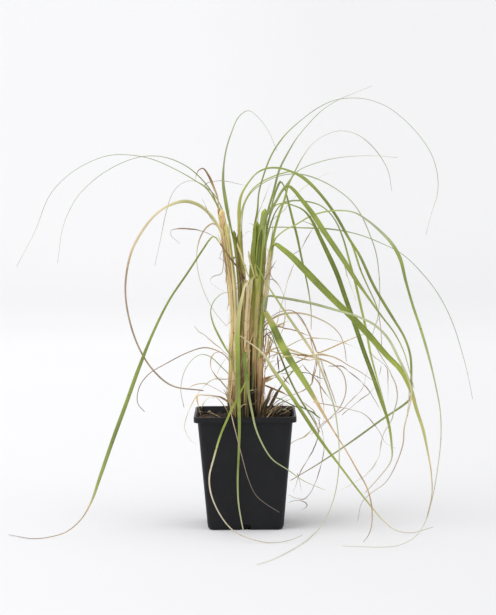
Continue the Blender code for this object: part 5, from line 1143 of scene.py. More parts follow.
def blade_finish():
    """Ageing grass: colour by age and by how much is lost, streaks, veins, a midrib and rust spots. The
    darkest ages also give the painted shade at the shoots' feet.
    """
    name = "Ageing blade"
    material = bpy.data.materials.get(name)
    if material:
        return material
    blades = settings().blades
    material, tree = new_material(name)
    across, along, age = parts_of(tree, carried_by(tree, "blade")["Vector"])
    lost, streaky, piece = parts_of(tree, carried_by(tree, "wear")["Vector"])
    place = object_place(tree)
    from_middle = maths(tree, "ABSOLUTE", across)

    def drawn_out(wide, long, detail, rough):
        """Noise drawn out along the blade, another one on each piece."""
        at = xyz(tree, times(tree, across, wide), times(tree, along, long), piece)
        return noise_at(tree, at, 1.0, detail, rough)

    # older in blotches, at the margins and in streaks
    blotch = minus(tree, noise_at(tree, place, 75.0, 3.0, 0.6), 0.5)
    aged = maths(tree, "MULTIPLY_ADD", blotch, 0.26, age)
    aged = maths(tree, "MULTIPLY_ADD", maths(tree, "POWER", from_middle, 7.0), 0.10, aged)
    strips = drawn_out(5.0, 11.0, 4.0, 0.72)
    aged = maths(tree, "MULTIPLY_ADD", minus(tree, strips, 0.48), times(tree, streaky, 0.75), aged)
    stops = [(DEEP, blades.deep), (GREEN, blades.green), (FRESH, blades.fresh), (OLIVE, blades.olive),
             (STRAW, blades.straw), (TAN, blades.tan), (BROWN, blades.brown), (DARKENED, blades.darkened)]
    colour = mixed(tree, lost, colour_ramp(tree, aged, stops), colour_ramp(tree, aged, FADED))

    # fine marks
    veins = drawn_out(9.0, 14.0, 3.0, 0.65)
    colour = toned(tree, colour, ranged(tree, veins, 0.25, 0.75, 0.68, 1.22))
    soiled = times(tree, ranged(tree, strips, 0.44, 0.34, 0.0, 0.6), streaky)
    colour = mixed(tree, soiled, colour, SOILED_STREAK)
    colour = toned(tree, colour, ranged(tree, noise_at(tree, place, 22.0, 1.0), 0.3, 0.7, 0.82, 1.14))
    colour = mixed(tree, ranged(tree, from_middle, 0.03, 0.12, 0.35, 0.0), colour, MIDRIB)
    spots = ranged(tree, noise_at(tree, place, 260.0, 2.0, 0.7), 0.66, 0.72, 0.0, 0.75)
    colour = mixed(tree, spots, colour, RUST)
    dull = ranged(tree, veins, 0.2, 0.8, blades.roughness + 0.14, blades.roughness - 0.06)
    return end_material(material, colour, dull, 0.3, (0.45, 0.0003, veins))


def pot_finish():
    """Moulded black plastic: satin, with faint swirls, dust and handling marks."""
    pot = settings().pot
    material, tree = new_material("Moulded pot plastic")
    place = object_place(tree)
    swirl = noise_at(tree, place, 28.0, 4.0, 0.6)
    dust = noise_at(tree, place, 160.0, 5.0, 0.7)
    dusty = tuple(channel + 0.009 for channel in pot.colour) + (1.0,)
    colour = mixed(tree, ranged(tree, dust, 0.52, 0.75, 0.0, 0.5), (*pot.colour, 1.0), dusty)
    colour = mixed(tree, ranged(tree, swirl, 0.45, 0.75, 0.0, 0.35), colour, dusty)
    dull = ranged(tree, swirl, 0.3, 0.7, pot.roughness - 0.05, pot.roughness + 0.12)
    return end_material(material, colour, dull, 0.22, (0.12, 0.0002, noise_at(tree, place, 1400.0)))


def soil_finish():
    """Damp peat: near black with brown crumbs and a few pale flecks, and darkened nearly to black low in the
    pot as painted shade, so that the drain notches look into a dark inside.
    """
    soil = settings().soil
    material, tree = new_material("Damp potting mix")
    place = object_place(tree)
    height = parts_of(tree, place)["Z"]
    crumbs = noise_at(tree, place, 520.0, 4.0, 0.7)
    lighter = tuple(2.6 * channel for channel in soil.colour) + (1.0,)
    colour = mixed(tree, ranged(tree, crumbs, 0.35, 0.7), (*soil.colour, 1.0), lighter)
    flecks = ranged(tree, noise_at(tree, place, 900.0, 1.0), 0.70, 0.76)
    colour = mixed(tree, flecks, colour, PALE_FLECK)
    # painted shade: the soil darkens towards the bottom of the pot, where the drain notches look in
    colour = toned(tree, colour, ranged(tree, height, 0.02, 0.06, 0.06, 1.0))
    return end_material(material, colour, ranged(tree, crumbs, 0.3, 0.7, 0.97, 0.72),
                        relief=(0.9, 0.0008, crumbs))


def litter_finish(name, dark, light, roughness):
    """Woody bits whose tone differs from one to the next, with a fine grain."""
    material, tree = new_material(name)
    grain = noise_at(tree, object_place(tree), 700.0, 3.0, 0.7)
    colour = mixed(tree, carried_by(tree, "tone")["Fac"], (*dark, 1.0), (*light, 1.0))
    colour = toned(tree, colour, ranged(tree, grain, 0.25, 0.75, 0.55, 1.25))
    return end_material(material, colour, roughness, relief=(0.6, 0.0004, grain))


def rounded_square(half, radius, z, steps):
    """Points of a rounded square, counter-clockwise from above."""
    core = half - radius
    points = []
    for quarter in range(4):
        turn = Matrix.Rotation(math.radians(90 * quarter), 3, "Z")
        for step in range(steps + 1):
            angle = math.radians(90 * step / steps)
            x = core + radius * math.cos(angle)
            y = core + radius * math.sin(angle)
            points.append(turn @ Vector((x, y, z)))
    return points


def wall_between(bm, lower, upper):
    """A band of faces between two rings of points."""
    for i in range(len(lower)):
        j = (i + 1) % len(lower)
        bm.faces.new((lower[i], lower[j], upper[j], upper[i]))


def block_between(bm, lower, upper):
    """A closed block between two rings of points."""
    wall_between(bm, lower, upper)
    bm.faces.new(list(reversed(lower)))
    bm.faces.new(upper)


def wall_half(z):
    """Half width of the pot's outer wall at a height below the lip."""
    base = BASE_WIDTH / 2
    top = POT_WIDTH / 2 - LIP_OVERHANG
    return base + (top - base) * z / (POT_HEIGHT - LIP_HEIGHT)


def loft(rings):
    """A closed skin through rings of equal point count, capped at both ends, in metres."""
    bm = bmesh.new()
    rows = [[bm.verts.new(point * MM) for point in ring] for ring in rings]
    for lower, upper in zip(rows, rows[1:]):
        wall_between(bm, lower, upper)
    bm.faces.new(list(reversed(rows[0])))
    bm.faces.new(rows[-1])
    return bm


def object_of(name, bm):
    """A scene object with the finished mesh."""
    mesh = bpy.data.meshes.new(name)
    bm.to_mesh(mesh)
    bm.free()
    return link_to_scene(bpy.data.objects.new(name, mesh))


def mesh_piece(name, bm, material):
    """A smooth, painted object."""
    piece = object_of(name, bm)
    piece.data.materials.append(material)
    for face in piece.data.polygons:
        face.use_smooth = True
    return piece


def pot_rings(steps):
    """Rings up the outside of the pot, over its lip and down the inside."""
    half = POT_WIDTH / 2
    lip = POT_HEIGHT - LIP_HEIGHT
    under_lip = wall_half(lip)
    foot = wall_half(0)
    inner_foot = wall_half(3.5) - WALL
    # each row is half the width, the corners' radius and the height
    profile = [(12.0, 6.0, 0.0), (foot - 3.6, 4.4, 0.0), (foot - 2.6, 4.6, 0.05), (foot - 1.6, 4.9, 0.35),
               (wall_half(1) - 0.9, 5.2, 0.95), (wall_half(2) - 0.35, 5.5, 2.0), (wall_half(3.2), 5.7, 3.2),
               (wall_half(5), 5.8, 5.0), (wall_half(20), 6.1, 20.0), (wall_half(60), 6.6, 60.0),
               (wall_half(lip - 3), 7.0, lip - 3.0), (under_lip, 7.0, lip - 0.3),
               (under_lip + 0.35, 7.1, lip), (half - 0.7, 7.8, lip + 0.02), (half - 0.2, 8.0, lip + 0.25),
               (half, 8.0, lip + 0.8), (half, 8.0, lip + 1.6), (half, 8.0, POT_HEIGHT - 1.4),
               (half, 8.0, POT_HEIGHT - 0.8),
               (half - 0.2, 8.0, POT_HEIGHT - 0.25), (half - 0.6, 7.9, POT_HEIGHT),
               (half - 1.3, 7.5, POT_HEIGHT), (half - 1.7, 7.2, POT_HEIGHT - 0.2),
               (half - 1.95, 7.0, POT_HEIGHT - 0.8), (half - 2.3, 6.9, POT_HEIGHT - 2.2),
               (under_lip - WALL, 6.4, lip - 1.0), (wall_half(60) - WALL, 5.9, 60.0),
               (wall_half(5) - WALL, 5.0, 5.0), (inner_foot, 4.6, FLOOR + 1.6),
               (inner_foot - 1.2, 4.0, FLOOR), (12.0, 4.0, FLOOR)]
    return [rounded_square(*row, steps) for row in profile]


def drain_cutter():
    """Notches in the middle of each side's lower edge, arched at the top, and round floor holes."""
    bm = bmesh.new()
    half = DRAIN_WIDTH / 2
    high = DRAIN_HEIGHT
    arch = [(-half, -CUT_PAST), (half, -CUT_PAST), (half, high - 1.2), (half - 0.35, high - 0.35),
            (half - 1.2, high), (1.2 - half, high), (0.35 - half, high - 0.35), (-half, high - 1.2)]
    for quarter in range(4):
        turn = Matrix.Rotation(math.radians(90 * quarter), 3, "Z")
        near, far = ([bm.verts.new(turn @ Vector((x, y - BASE_WIDTH / 2, z)) * MM) for x, z in arch]
                     for y in (DRAIN_DEPTH, -DRAIN_DEPTH))
        block_between(bm, near, far)
        centre = turn @ Vector((HOLE_OFFSET, HOLE_OFFSET, 0))
        ring = [(centre.x + HOLE_RADIUS * math.cos(math.tau * i / HOLE_SIDES),
                 centre.y + HOLE_RADIUS * math.sin(math.tau * i / HOLE_SIDES)) for i in range(HOLE_SIDES)]
        low, top = ([bm.verts.new(Vector((x, y, z)) * MM) for x, y in ring]
                    for z in (-CUT_PAST, FLOOR + CUT_PAST))
        block_between(bm, low, top)
    bmesh.ops.recalc_face_normals(bm, faces=bm.faces)
    return bm


def soil_height(x, y):
    """Gentle heaps of the soil's surface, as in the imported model."""
    heaps = math.sin(x * 0.11 + 0.6) * math.cos(y * 0.09 - 0.4) + 0.4 * math.sin(x * 0.05 - y * 0.17)
    return SOIL_TOP + SOIL_BUMP * heaps


def into_rounded_square(x, y, half, radius):
    """A square's point, pulled in at the corners onto their arcs."""
    core = half - radius
    over = Vector((max(abs(x) - core, 0.0), max(abs(y) - core, 0.0)))
    if over.length > radius:
        over *= radius / over.length
    return (math.copysign(min(abs(x), core) + over.x, x), math.copysign(min(abs(y), core) + over.y, y))


def seen_at(x, z, y):
    """The point at depth y that is seen, from the viewpoint, at x and z on the upright plane."""
    on_plane = Vector((x, 0.0, z))
    share = (y - VIEWPOINT.y) / (0.0 - VIEWPOINT.y)
    point = VIEWPOINT + (on_plane - VIEWPOINT) * share
    point.z = max(point.z, FLOOR_CLEARANCE)
    return point


def smooth(points, stations):
    """Evenly spaced points and tangents of a smooth curve through the given points, and its length."""
    fine = []
    ends = [points[0] * 2 - points[1]] + list(points) + [points[-1] * 2 - points[-2]]
    for before, start, end, after in zip(ends, ends[1:], ends[2:], ends[3:]):
        gaps = [max((b - a).length, 0.01) ** 0.5 for a, b in ((before, start), (start, end), (end, after))]
        leave = ((start - before) / gaps[0] - (end - before) / (gaps[0] + gaps[1])
                 + (end - start) / gaps[1]) * gaps[1]
        arrive = ((end - start) / gaps[1] - (after - start) / (gaps[1] + gaps[2])
                  + (after - end) / gaps[2]) * gaps[1]
        for step in range(CURVE_STEPS):
            t = step / CURVE_STEPS
            fine.append(start * (2 * t ** 3 - 3 * t ** 2 + 1) + leave * (t ** 3 - 2 * t ** 2 + t)
                        + end * (3 * t ** 2 - 2 * t ** 3) + arrive * (t ** 3 - t ** 2))
    fine.append(points[-1])
    run = [0.0]
    for a, b in zip(fine, fine[1:]):
        run.append(run[-1] + (b - a).length)
    total = run[-1]
    spine = []
    at = 0
    for i in range(stations):
        target = total * i / (stations - 1)
        while at < len(run) - 2 and run[at + 1] < target:
            at += 1
        share = (target - run[at]) / max(run[at + 1] - run[at], 1e-9)
        spine.append(fine[at].lerp(fine[at + 1], share))
    tangents = [(spine[min(i + 1, stations - 1)] - spine[max(i - 1, 0)]).normalized()
                for i in range(stations)]
    return spine, tangents, total


def plan_shoot(name, root, foot_radius, top_radius, look, route, stations=TILLER_STATIONS):
    """A shoot's spine and radii, from its foot in the soil to its top."""
    foot = Vector((*root, SOIL_TOP - SOCKET_DEPTH))
    collar = Vector((*root, SOIL_TOP + COLLAR))
    spine, tangents, length = smooth([foot, collar] + [seen_at(*row) for row in route], stations)
    last = stations - 1
    radius = [foot_radius + (top_radius - foot_radius) * i / last for i in range(stations)]
    return {"name": name, "spine": spine, "tangents": tangents, "radius": radius, "look": look,
            "length": length}


def shoot_plans():
    """Every shoot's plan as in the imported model, by its name."""
    return {row[0]: plan_shoot(*row) for row in TILLERS}


def shoot_at(shoot, z):
    """Axis point and radius of a shoot at a height."""
    spine = shoot["spine"]
    for i in range(len(spine) - 1):
        if spine[i + 1].z >= z or i == len(spine) - 2:
            share = (z - spine[i].z) / (spine[i + 1].z - spine[i].z)
            radius = shoot["radius"][i] + (shoot["radius"][i + 1] - shoot["radius"][i]) * share
            return spine[i].lerp(spine[i + 1], share), radius


def carried_along(tangents, start):
    """A direction carried along a curve without twisting."""
    carried = start
    before = tangents[0]
    along = []
    for tangent in tangents:
        carried = before.rotation_difference(tangent) @ carried
        carried = (carried - tangent * carried.dot(tangent)).normalized()
        along.append(carried)
        before = tangent
    return along


def angle_about(axis, start, end):
    """The signed angle about an axis from one direction to another, or None where it is unclear."""
    across = end - axis * end.dot(axis)
    if across.length < LEAST_ACROSS:
        return None
    return math.atan2(axis.dot(start.cross(across)), start.dot(across))


def blade_normals(tangents, out, face, step):
    """Normals along a blade: away from the shoot at its base, turning the short way to the facing."""
    along = carried_along(tangents, out)
    last = len(tangents) - 1
    settled = round(last * TURNED_BY)
    if angle_about(tangents[settled], along[settled], face) is None:
        settled = last
    first_try = angle_about(tangents[settled], along[settled], face)
    wanted = -face if abs(first_try) > math.pi / 2 else face
    most = FASTEST_TURN * step
    turned = 0.0
    normals = []
    for i, (tangent, carried) in enumerate(zip(tangents, along)):
        target = angle_about(tangent, carried, wanted)
        if target is not None:
            target *= smooth_step(i / max(settled, 1))
            change = (target - turned + math.pi) % math.tau - math.pi
            turned += max(-most, min(most, change))
        normals.append(Quaternion(tangent, turned) @ carried)
    return normals


def plan_blade(shoots, shoot, height, bearing, face, route):
    """Finely spaced points, tangents and normals of a blade, and the direction it leaves in."""
    angle = math.radians(bearing)
    out = Vector((math.cos(angle), math.sin(angle), 0.0))
    foot_axis, foot_radius = shoot_at(shoots[shoot], height)
    rise_axis, rise_radius = shoot_at(shoots[shoot], height + LEAF_RISE)
    foot = foot_axis + out * (foot_radius + GAP + LEAF_THICKNESS / 2)
    rise = rise_axis + out * (rise_radius + 2 * GAP + LEAF_THICKNESS / 2)
    points = [foot, rise] + [seen_at(*row) for row in route]
    chord = sum((b - a).length for a, b in zip(points, points[1:]))
    stations = max(LEAF_STATIONS_LEAST, round(chord / LEAF_STATION_STEP))
    fine = (stations - 1) * FINE_STEPS + 1
    spine, tangents, length = smooth(points, fine)
    normals = blade_normals(tangents, out, Vector(face).normalized(), length / (fine - 1))
    return spine, tangents, normals, length, out


def between(stops, share):
    """The value at a share of the length, from (share, value) stops."""
    for (low, start), (high, end) in zip(stops, stops[1:]):
        if share <= high:
            return start + (end - start) * (share - low) / max(high - low, 1e-6)
    return stops[-1][1]


def line_mesh(name, stations):
    """A line of points with what the blade tree reads.

    A station is (point, side, up, half width, half thickness, curl per mm, age, distance, crease, colour
    lost, streakiness, which piece), in mm.
    """
    mesh = bpy.data.meshes.new(name)
    edges = [(i, i + 1) for i in range(len(stations) - 1)]
    mesh.from_pydata([row[0] * MM for row in stations], edges, [])
    columns = {"side": [], "up": [], "span": [], "look": [], "wear": []}
    for _, side, up, half, thick, curl, age, distance, crease, *wear in stations:
        columns["side"] += side[:]
        columns["up"] += up[:]
        columns["span"] += (half * MM, thick * MM, curl / MM)
        columns["look"] += (age, distance * MM, crease)
        columns["wear"] += wear
    for key, values in columns.items():
        mesh.attributes.new(key, "FLOAT_VECTOR", "POINT").data.foreach_set("vector", values)
    return mesh


def closed_ends(stations):
    """The stations with a point at each end, so that the swept skin closes."""
    first, last = stations[0], stations[-1]
    start = (first[0], first[1], first[2], 0.0, 0.0, *first[5:])
    end = (last[0], last[1], last[2], 0.0, 0.0, *last[5:])
    return [start] + stations + [end]


def blade_stations(shoots, row, seed):
    """A blade from inside its sheath, round its shoot, to its tip."""
    _, shoot, height, bearing, look, face, widths, route = row
    blades = settings().blades
    ages, losses = look
    thick = blades.thickness / MM
    widest = max(width for _, width in widths)
    spine, tangents, normals, length, out = plan_blade(shoots, shoot, height, bearing, face, route)
    sheath = min(blades.sheath_length / MM, height - SOIL_TOP - SHEATH_CLEARANCE)
    round_shoot = Vector((0, 0, 1)).cross(out)
    stations = []
    for i in range(SHEATH_STEPS):
        share = i / SHEATH_STEPS
        axis, radius = shoot_at(shoots[shoot], height - sheath * (1 - share))
        hug = radius + 0.5 * smooth_step(share * 2.2) - 0.28
        stations.append((axis + out * hug, round_shoot, out, hug * CLASP, thick, 1 / hug,
                         ages[0][1] + 0.1 * (1 - share), sheath * share, 0.0, 0.0, SHEATH_STREAKS, seed))
    _, foot_radius = shoot_at(shoots[shoot], height)
    clasp_half = (foot_radius + GAP) * CLASP
    channel = blades.channel * random.Random(seed).uniform(0.7, 1.3)
    last = len(spine) - 1
    for i, (point, tangent, normal) in enumerate(zip(spine, tangents, normals)):
        share = i / last
        run = length * share
        opened = smooth_step(run / OPENS_OVER)
        narrowed = smooth_step((run + 2) / NARROWS_OVER)
        curl = (1 - opened) / (foot_radius + GAP) + opened * channel / max(widest, NARROW_BLADE)
        half = clasp_half + (between(widths, share) / 2 - clasp_half) * narrowed
        side = tangent.cross(normal)
        low = point.z - half * abs(side.z) - thick
        if narrowed == 1.0 and low < FLOOR_GAP:
            point = point + Vector((0, 0, FLOOR_GAP - low))
        stations.append((point, side, normal, half, thick, curl, between(ages, share), sheath + run,
                         blades.crease * opened * (1 - 0.5 * share), between(losses, share),
                         SHEATH_STREAKS - 0.55 * opened, seed))
    tip = stations[-1]
    for reach, part in TIP:
        stations.append((tip[0] + tangents[-1] * reach, tip[1], tip[2], tip[3] * part, tip[4] * part,
                         *tip[5:]))
    return closed_ends(stations)


def shoot_stations(shoot, pointed):
    """A rolled sheath from the soil to its mouth, with slight swellings at its joints."""
    last = SHOOT_STATIONS - 1
    wall = settings().shoots.wall / MM
    length = shoot["length"]
    ages, lost = shoot["look"]
    seed = sum(ord(letter) for letter in shoot["name"])
    turn = math.radians(seed * 47 % 360)
    ups = carried_along(shoot["tangents"], Vector((math.cos(turn), math.sin(turn), 0.0)))
    stations = []
    for i, (axis, tangent, up) in enumerate(zip(shoot["spine"], shoot["tangents"], ups)):
        share = i / last
        run = length * share
        radius = shoot["radius"][i] * (1 + SWELLING * math.sin(run * 0.11 + seed))
        left = (length - run) / (1.3 * shoot["radius"][-1])
        if pointed and left < 1.0:
            radius *= SHOOT_POINT + (1 - SHOOT_POINT) * (1 - (1 - left) ** 2.4)
        up = Quaternion(tangent, run * SHOOT_TWIST) @ up
        stations.append((axis + up * radius, tangent.cross(up), up, radius * math.pi * SHOOT_WRAP, wall,
                         1 / radius, between(ages, share), run, 0.0, lost, SHEATH_STREAKS, seed))
    return closed_ends(stations)


def any_tiller(shoots, rng):
    return rng.choice(sorted(name for name in shoots if name.startswith("tiller")))


def joined(name, parts):
    """Several pieces made one."""
    with bpy.context.temp_override(active_object=parts[0], selected_editable_objects=parts):
        bpy.ops.object.join()
    parts[0].name = name
    parts[0].data.name = name
    return parts[0]


def random_strip(shoots, rng):
    """A row, as in SHEATHS, for a strip where chance puts it."""
    name = any_tiller(shoots, rng)
    top = shoots[name]["spine"][-1].z - 6.0
    low = rng.choice((rng.uniform(SOIL_TOP + 1, 118), rng.uniform(110, top - 40)))
    high = min(low + rng.uniform(28, 95) * (0.8 if low < 120 else 1.0), top)
    foot, _ = shoot_at(shoots[name], low)
    bearing = math.degrees(math.atan2(foot.y + 1.0, foot.x - 1.5)) + rng.uniform(-75, 75)
    width = rng.choice((rng.uniform(0.7, 1.4), rng.uniform(1.0, 2.2)))
    peel = rng.choice((0.4, 1.0, rng.uniform(2.0, 6.0)))
    foot_peel = rng.choice((0.0, 0.3, rng.uniform(0.5, 2.5)))
    # ages to choose from: straw on the left, browner towards the middle and the soil, greener on the right;
    # the darkened age low in the middle is partly real dead sheath and partly painted shade between the
    # shoots' feet
    if foot.x < -5:
        palette = (STRAW, 0.7, TAN, 0.84) if low < 125 else (STRAW, 0.62, 0.7, TAN, 0.56)
    elif foot.x < 5:
        palette = (BROWN, DARKENED, 0.9, TAN) if low < 130 else (STRAW, TAN, 0.7, OLIVE, 0.9)
    else:
        palette = (BROWN, 0.86, TAN, OLIVE) if low < 125 else (OLIVE, 0.4, 0.3, STRAW, 0.74)
    return (name, low, high, bearing, rng.uniform(-30, 30), width, peel, foot_peel, rng.choice(palette), 0.1)


def strip_stations(shoots, row, rng):
    """A dry strip of old sheath that hugs a shoot and peels away from it at its ends."""
    name, low, high, bearing, drift, width, peel, foot_peel, age, lost = row
    stand = rng.uniform(0.25, 0.9)
    tone = rng.uniform(0, 90)
    points = []
    outs = []
    for i in range(STRIP_STEPS + 1):
        share = i / STRIP_STEPS
        axis, radius = shoot_at(shoots[name], low + (high - low) * share)
        angle = math.radians(bearing + drift * share)
        out = Vector((math.cos(angle), math.sin(angle), 0.0))
        lift = peel * smooth_step((share - 0.7) / 0.3) ** 2 + foot_peel * smooth_step((0.2 - share) / 0.2)
        points.append(axis + out * (radius + stand + lift))
        outs.append(out)
    stations = []
    for i, (point, out) in enumerate(zip(points, outs)):
        share = i / STRIP_STEPS
        tangent = (points[min(i + 1, STRIP_STEPS)] - points[max(i - 1, 0)]).normalized()
        side = tangent.cross(out).normalized()
        half = width / 2 * min(1.0, 0.35 + 5 * share, 0.25 + 4 * (1 - share))
        stations.append((point, side, side.cross(tangent), half, STRIP_THICKNESS, STRIP_CURL,
                         age + 0.1 * (0.5 - share), (high - low) * share, 0.0, lost, STRIP_STREAKS, tone))
    return closed_ends(stations)


def fine_curl(shoots, rng):
    """A strand's row for a fine dry curl that stands off a shoot."""
    shoot = shoots[any_tiller(shoots, rng)]
    low = rng.uniform(SOIL_TOP + 6, shoot["spine"][-1].z - 4)
    axis, radius = shoot_at(shoot, low)
    behind = rng.choice((-1, -1, 1))
    y = axis.y + behind * (radius + 0.6)
    way = rng.choice((-1, 1))
    reach = rng.uniform(2.5, 11)
    rise = rng.uniform(4, 16) * rng.choice((-1, 1, 1))
    points = [(axis.x, low), (axis.x + way * reach * 0.55, low + rise * 0.7),
              (axis.x + way * reach, low + rise)]
    if rng.random() < 0.5:
        points.append((axis.x + way * reach * 1.3, low + rise * rng.uniform(0.3, 0.9)))
    age = rng.choice((STRAW, TAN, 0.86, BROWN, 0.6))
    return (rng.uniform(0.4, 0.8), age, y, y + behind * reach * rng.uniform(0.1, 0.7), tuple(points))


def dead_twig(rng):
    """A strand's row for a short dead stalk that leans out from the shoots' feet."""
    right = rng.random() < 0.72
    angle = rng.uniform(-1.25, 1.25)
    reach = rng.uniform(6, 17)
    x = 8 + reach * math.cos(angle) if right else -9 - 0.6 * reach * math.cos(angle)
    y = 1.3 * reach * math.sin(angle) - 2
    lean = rng.uniform(0.15, 1.1) * (1 if right else -1)
    length = rng.uniform(9, 36)
    bend = rng.uniform(-0.25, 0.25)
    route = []
    for share in (0.0, 0.35, 0.7, 1.0):
        turn = lean + bend * share * share
        route.append((x + length * share * math.sin(turn), SOIL_TOP - 1 + length * share * math.cos(turn)))
    age = rng.choice((BROWN, BROWN, DARKENED, TAN, 0.9, 0.92, 0.96))
    return (rng.uniform(0.5, 1.3), age, y, y + length * rng.uniform(-0.3, 0.3), tuple(route))


def strand_lines(strands):
    """One mesh of separate lines, each with its half width, age and lost colour at every point."""
    points = []
    edges = []
    columns = {"half": [], "age": [], "lost": []}
    for width, age, near, far, route in strands:
        steps = len(route) - 1
        line = [seen_at(x, z, near + (far - near) * i / steps) for i, (x, z) in enumerate(route)]
        length = sum((b - a).length for a, b in zip(line, line[1:]))
        count = max(STRAND_POINTS_LEAST, round(length / STRAND_SPACING))
        spine, _, _ = smooth(line, count)
        edges += [(i, i + 1) for i in range(len(points), len(points) + count - 1)]
        thin = smooth_step((1.3 - width) / 0.3)
        fairly_thin = smooth_step((1.7 - width) / 0.4)
        for i, point in enumerate(spine):
            share = i / (count - 1)
            taper = min(1.0, 6 * share + 0.35) * min(1.0, 2.2 * (1 - share) + 0.16)
            far_out = max(smooth_step((point.z - OUTER_HEIGHT) / OUTER_BLEND),
                          smooth_step((point.x - OUTER_RIGHT) / OUTER_BLEND))
            points.append(point * MM)
            columns["half"].append(width / 2 * taper * MM)
            columns["age"].append(STRAND_AGE * age)
            columns["lost"].append(0.1 + 0.3 * thin + 0.5 * far_out * fairly_thin)
    mesh = bpy.data.meshes.new("strand_lines")
    mesh.from_pydata(points, edges, [])
    for key, values in columns.items():
        mesh.attributes.new(key, "FLOAT", "POINT").data.foreach_set("value", values)
    return mesh


def soil_block():
    """The soil with its lumps and heaps; its top carries where bark and crumbs lie."""
    soil = settings().soil
    inside = WALL + GAP
    cells = soil.cells
    half = wall_half(SOIL_TOP) - inside
    bm = bmesh.new()
    heap = bm.verts.layers.float.new("heap")
    strip = bm.verts.layers.float.new("strip")
    even = bm.verts.layers.float.new("even")
    lump = soil.lump_height / MM
    rows = []
    for i in range(cells + 1):
        row = []
        for j in range(cells + 1):
            x, y = into_rounded_square(half * (2 * i / cells - 1), half * (2 * j / cells - 1), half,
                                       SOIL_CORNER)
            place = Vector((x, y, 0.0))
            bumps = noise.fractal(place * 0.16, 0.7, 2.0, 5) + 0.5 * noise.noise(place * 0.75)
            # bark lies in a heap at the back right and in a strip along the left edge
            back_right = smooth_step((x + y - 14) / 34) * smooth_step((y + 14) / 26)
            left_edge = smooth_step((-20 - x) / 12) * smooth_step((y + 38) / 16) * smooth_step((16 - y) / 20)
            z = soil_height(x, y) + lump * bumps + BACK_HEAP * back_right + LEFT_HEAP * left_edge
            vert = bm.verts.new(Vector((x, y, z)) * MM)
            vert[heap] = back_right
            vert[strip] = left_edge
            vert[even] = 1.0
            row.append(vert)
        rows.append(row)
    for i in range(cells):
        for j in range(cells):
            bm.faces.new((rows[i][j], rows[i + 1][j], rows[i + 1][j + 1], rows[i][j + 1]))
    rim = [rows[i][0] for i in range(cells)] + [rows[cells][j] for j in range(cells)]
    rim += [rows[i][cells] for i in range(cells, 0, -1)] + [rows[0][j] for j in range(cells, 0, -1)]
    foot = FLOOR + GAP
    shrink = (wall_half(foot) - inside - 1.0) / half
    low = [bm.verts.new((vert.co.x * shrink, vert.co.y * shrink, foot * MM)) for vert in rim]
    wall_between(bm, low, rim)
    bm.faces.new(low)
    return bm


def upper_faces(mesh):
    """A copy of the mesh with only the faces that look up, for litter to lie on."""
    bm = bmesh.new()
    bm.from_mesh(mesh)
    bm.normal_update()
    bmesh.ops.delete(bm, geom=[face for face in bm.faces if face.normal.z < 0.3], context="FACES")
    upper = bpy.data.meshes.new("litter_surface")
    bm.to_mesh(upper)
    bm.free()
    return upper


def grain_of(name, size, subdivisions):
    """A small rounded lump to strew, with its sizes in mm."""
    bm = bmesh.new()
    bmesh.ops.create_icosphere(bm, subdivisions=subdivisions, radius=0.5)
    bmesh.ops.scale(bm, vec=Vector(size) * MM, verts=bm.verts)
    return object_of(name, bm)


def chip_of(name, size):
    """A thin angular flake to strew, with its sizes in mm."""
    bm = bmesh.new()
    outline = [(-0.5, -0.2), (-0.2, -0.5), (0.35, -0.42), (0.5, 0.05), (0.3, 0.5), (-0.25, 0.38)]
    low = [bm.verts.new((x, y, -0.5)) for x, y in outline]
    high = [bm.verts.new((x * 0.82, y * 0.78, 0.5)) for x, y in outline]
    block_between(bm, low, high)
    bmesh.ops.scale(bm, vec=Vector(size) * MM, verts=bm.verts)
    return object_of(name, bm)


class GRASS_OT_pot(bpy.types.Operator):
    """Make the nursery pot with its rolled lip and drain holes"""
    bl_idname = "grass.pot"
    bl_label = "Nursery Pot"

    def execute(self, context):
        bm = loft(pot_rings(context.scene.grass_clump.pot.corner_steps))
        bmesh.ops.recalc_face_normals(bm, faces=bm.faces)
        finish = pot_finish()
        pot = mesh_piece("nursery_pot", bm, finish)
        cutter = mesh_piece("drain_cutter", drain_cutter(), finish)
        cut = pot.modifiers.new("Drains", "BOOLEAN")
        cut.object = cutter
        cut.solver = "EXACT"
        weights = pot.modifiers.new("Even shading", "WEIGHTED_NORMAL")
        weights.keep_sharp = True
        graph = context.evaluated_depsgraph_get()
        pot.data = bpy.data.meshes.new_from_object(pot.evaluated_get(graph), depsgraph=graph)
        pot.modifiers.clear()
        pot.data.name = "nursery_pot"
        bpy.data.objects.remove(cutter)
        settle(pot, "pot_black", "pot")
        return {"FINISHED"}


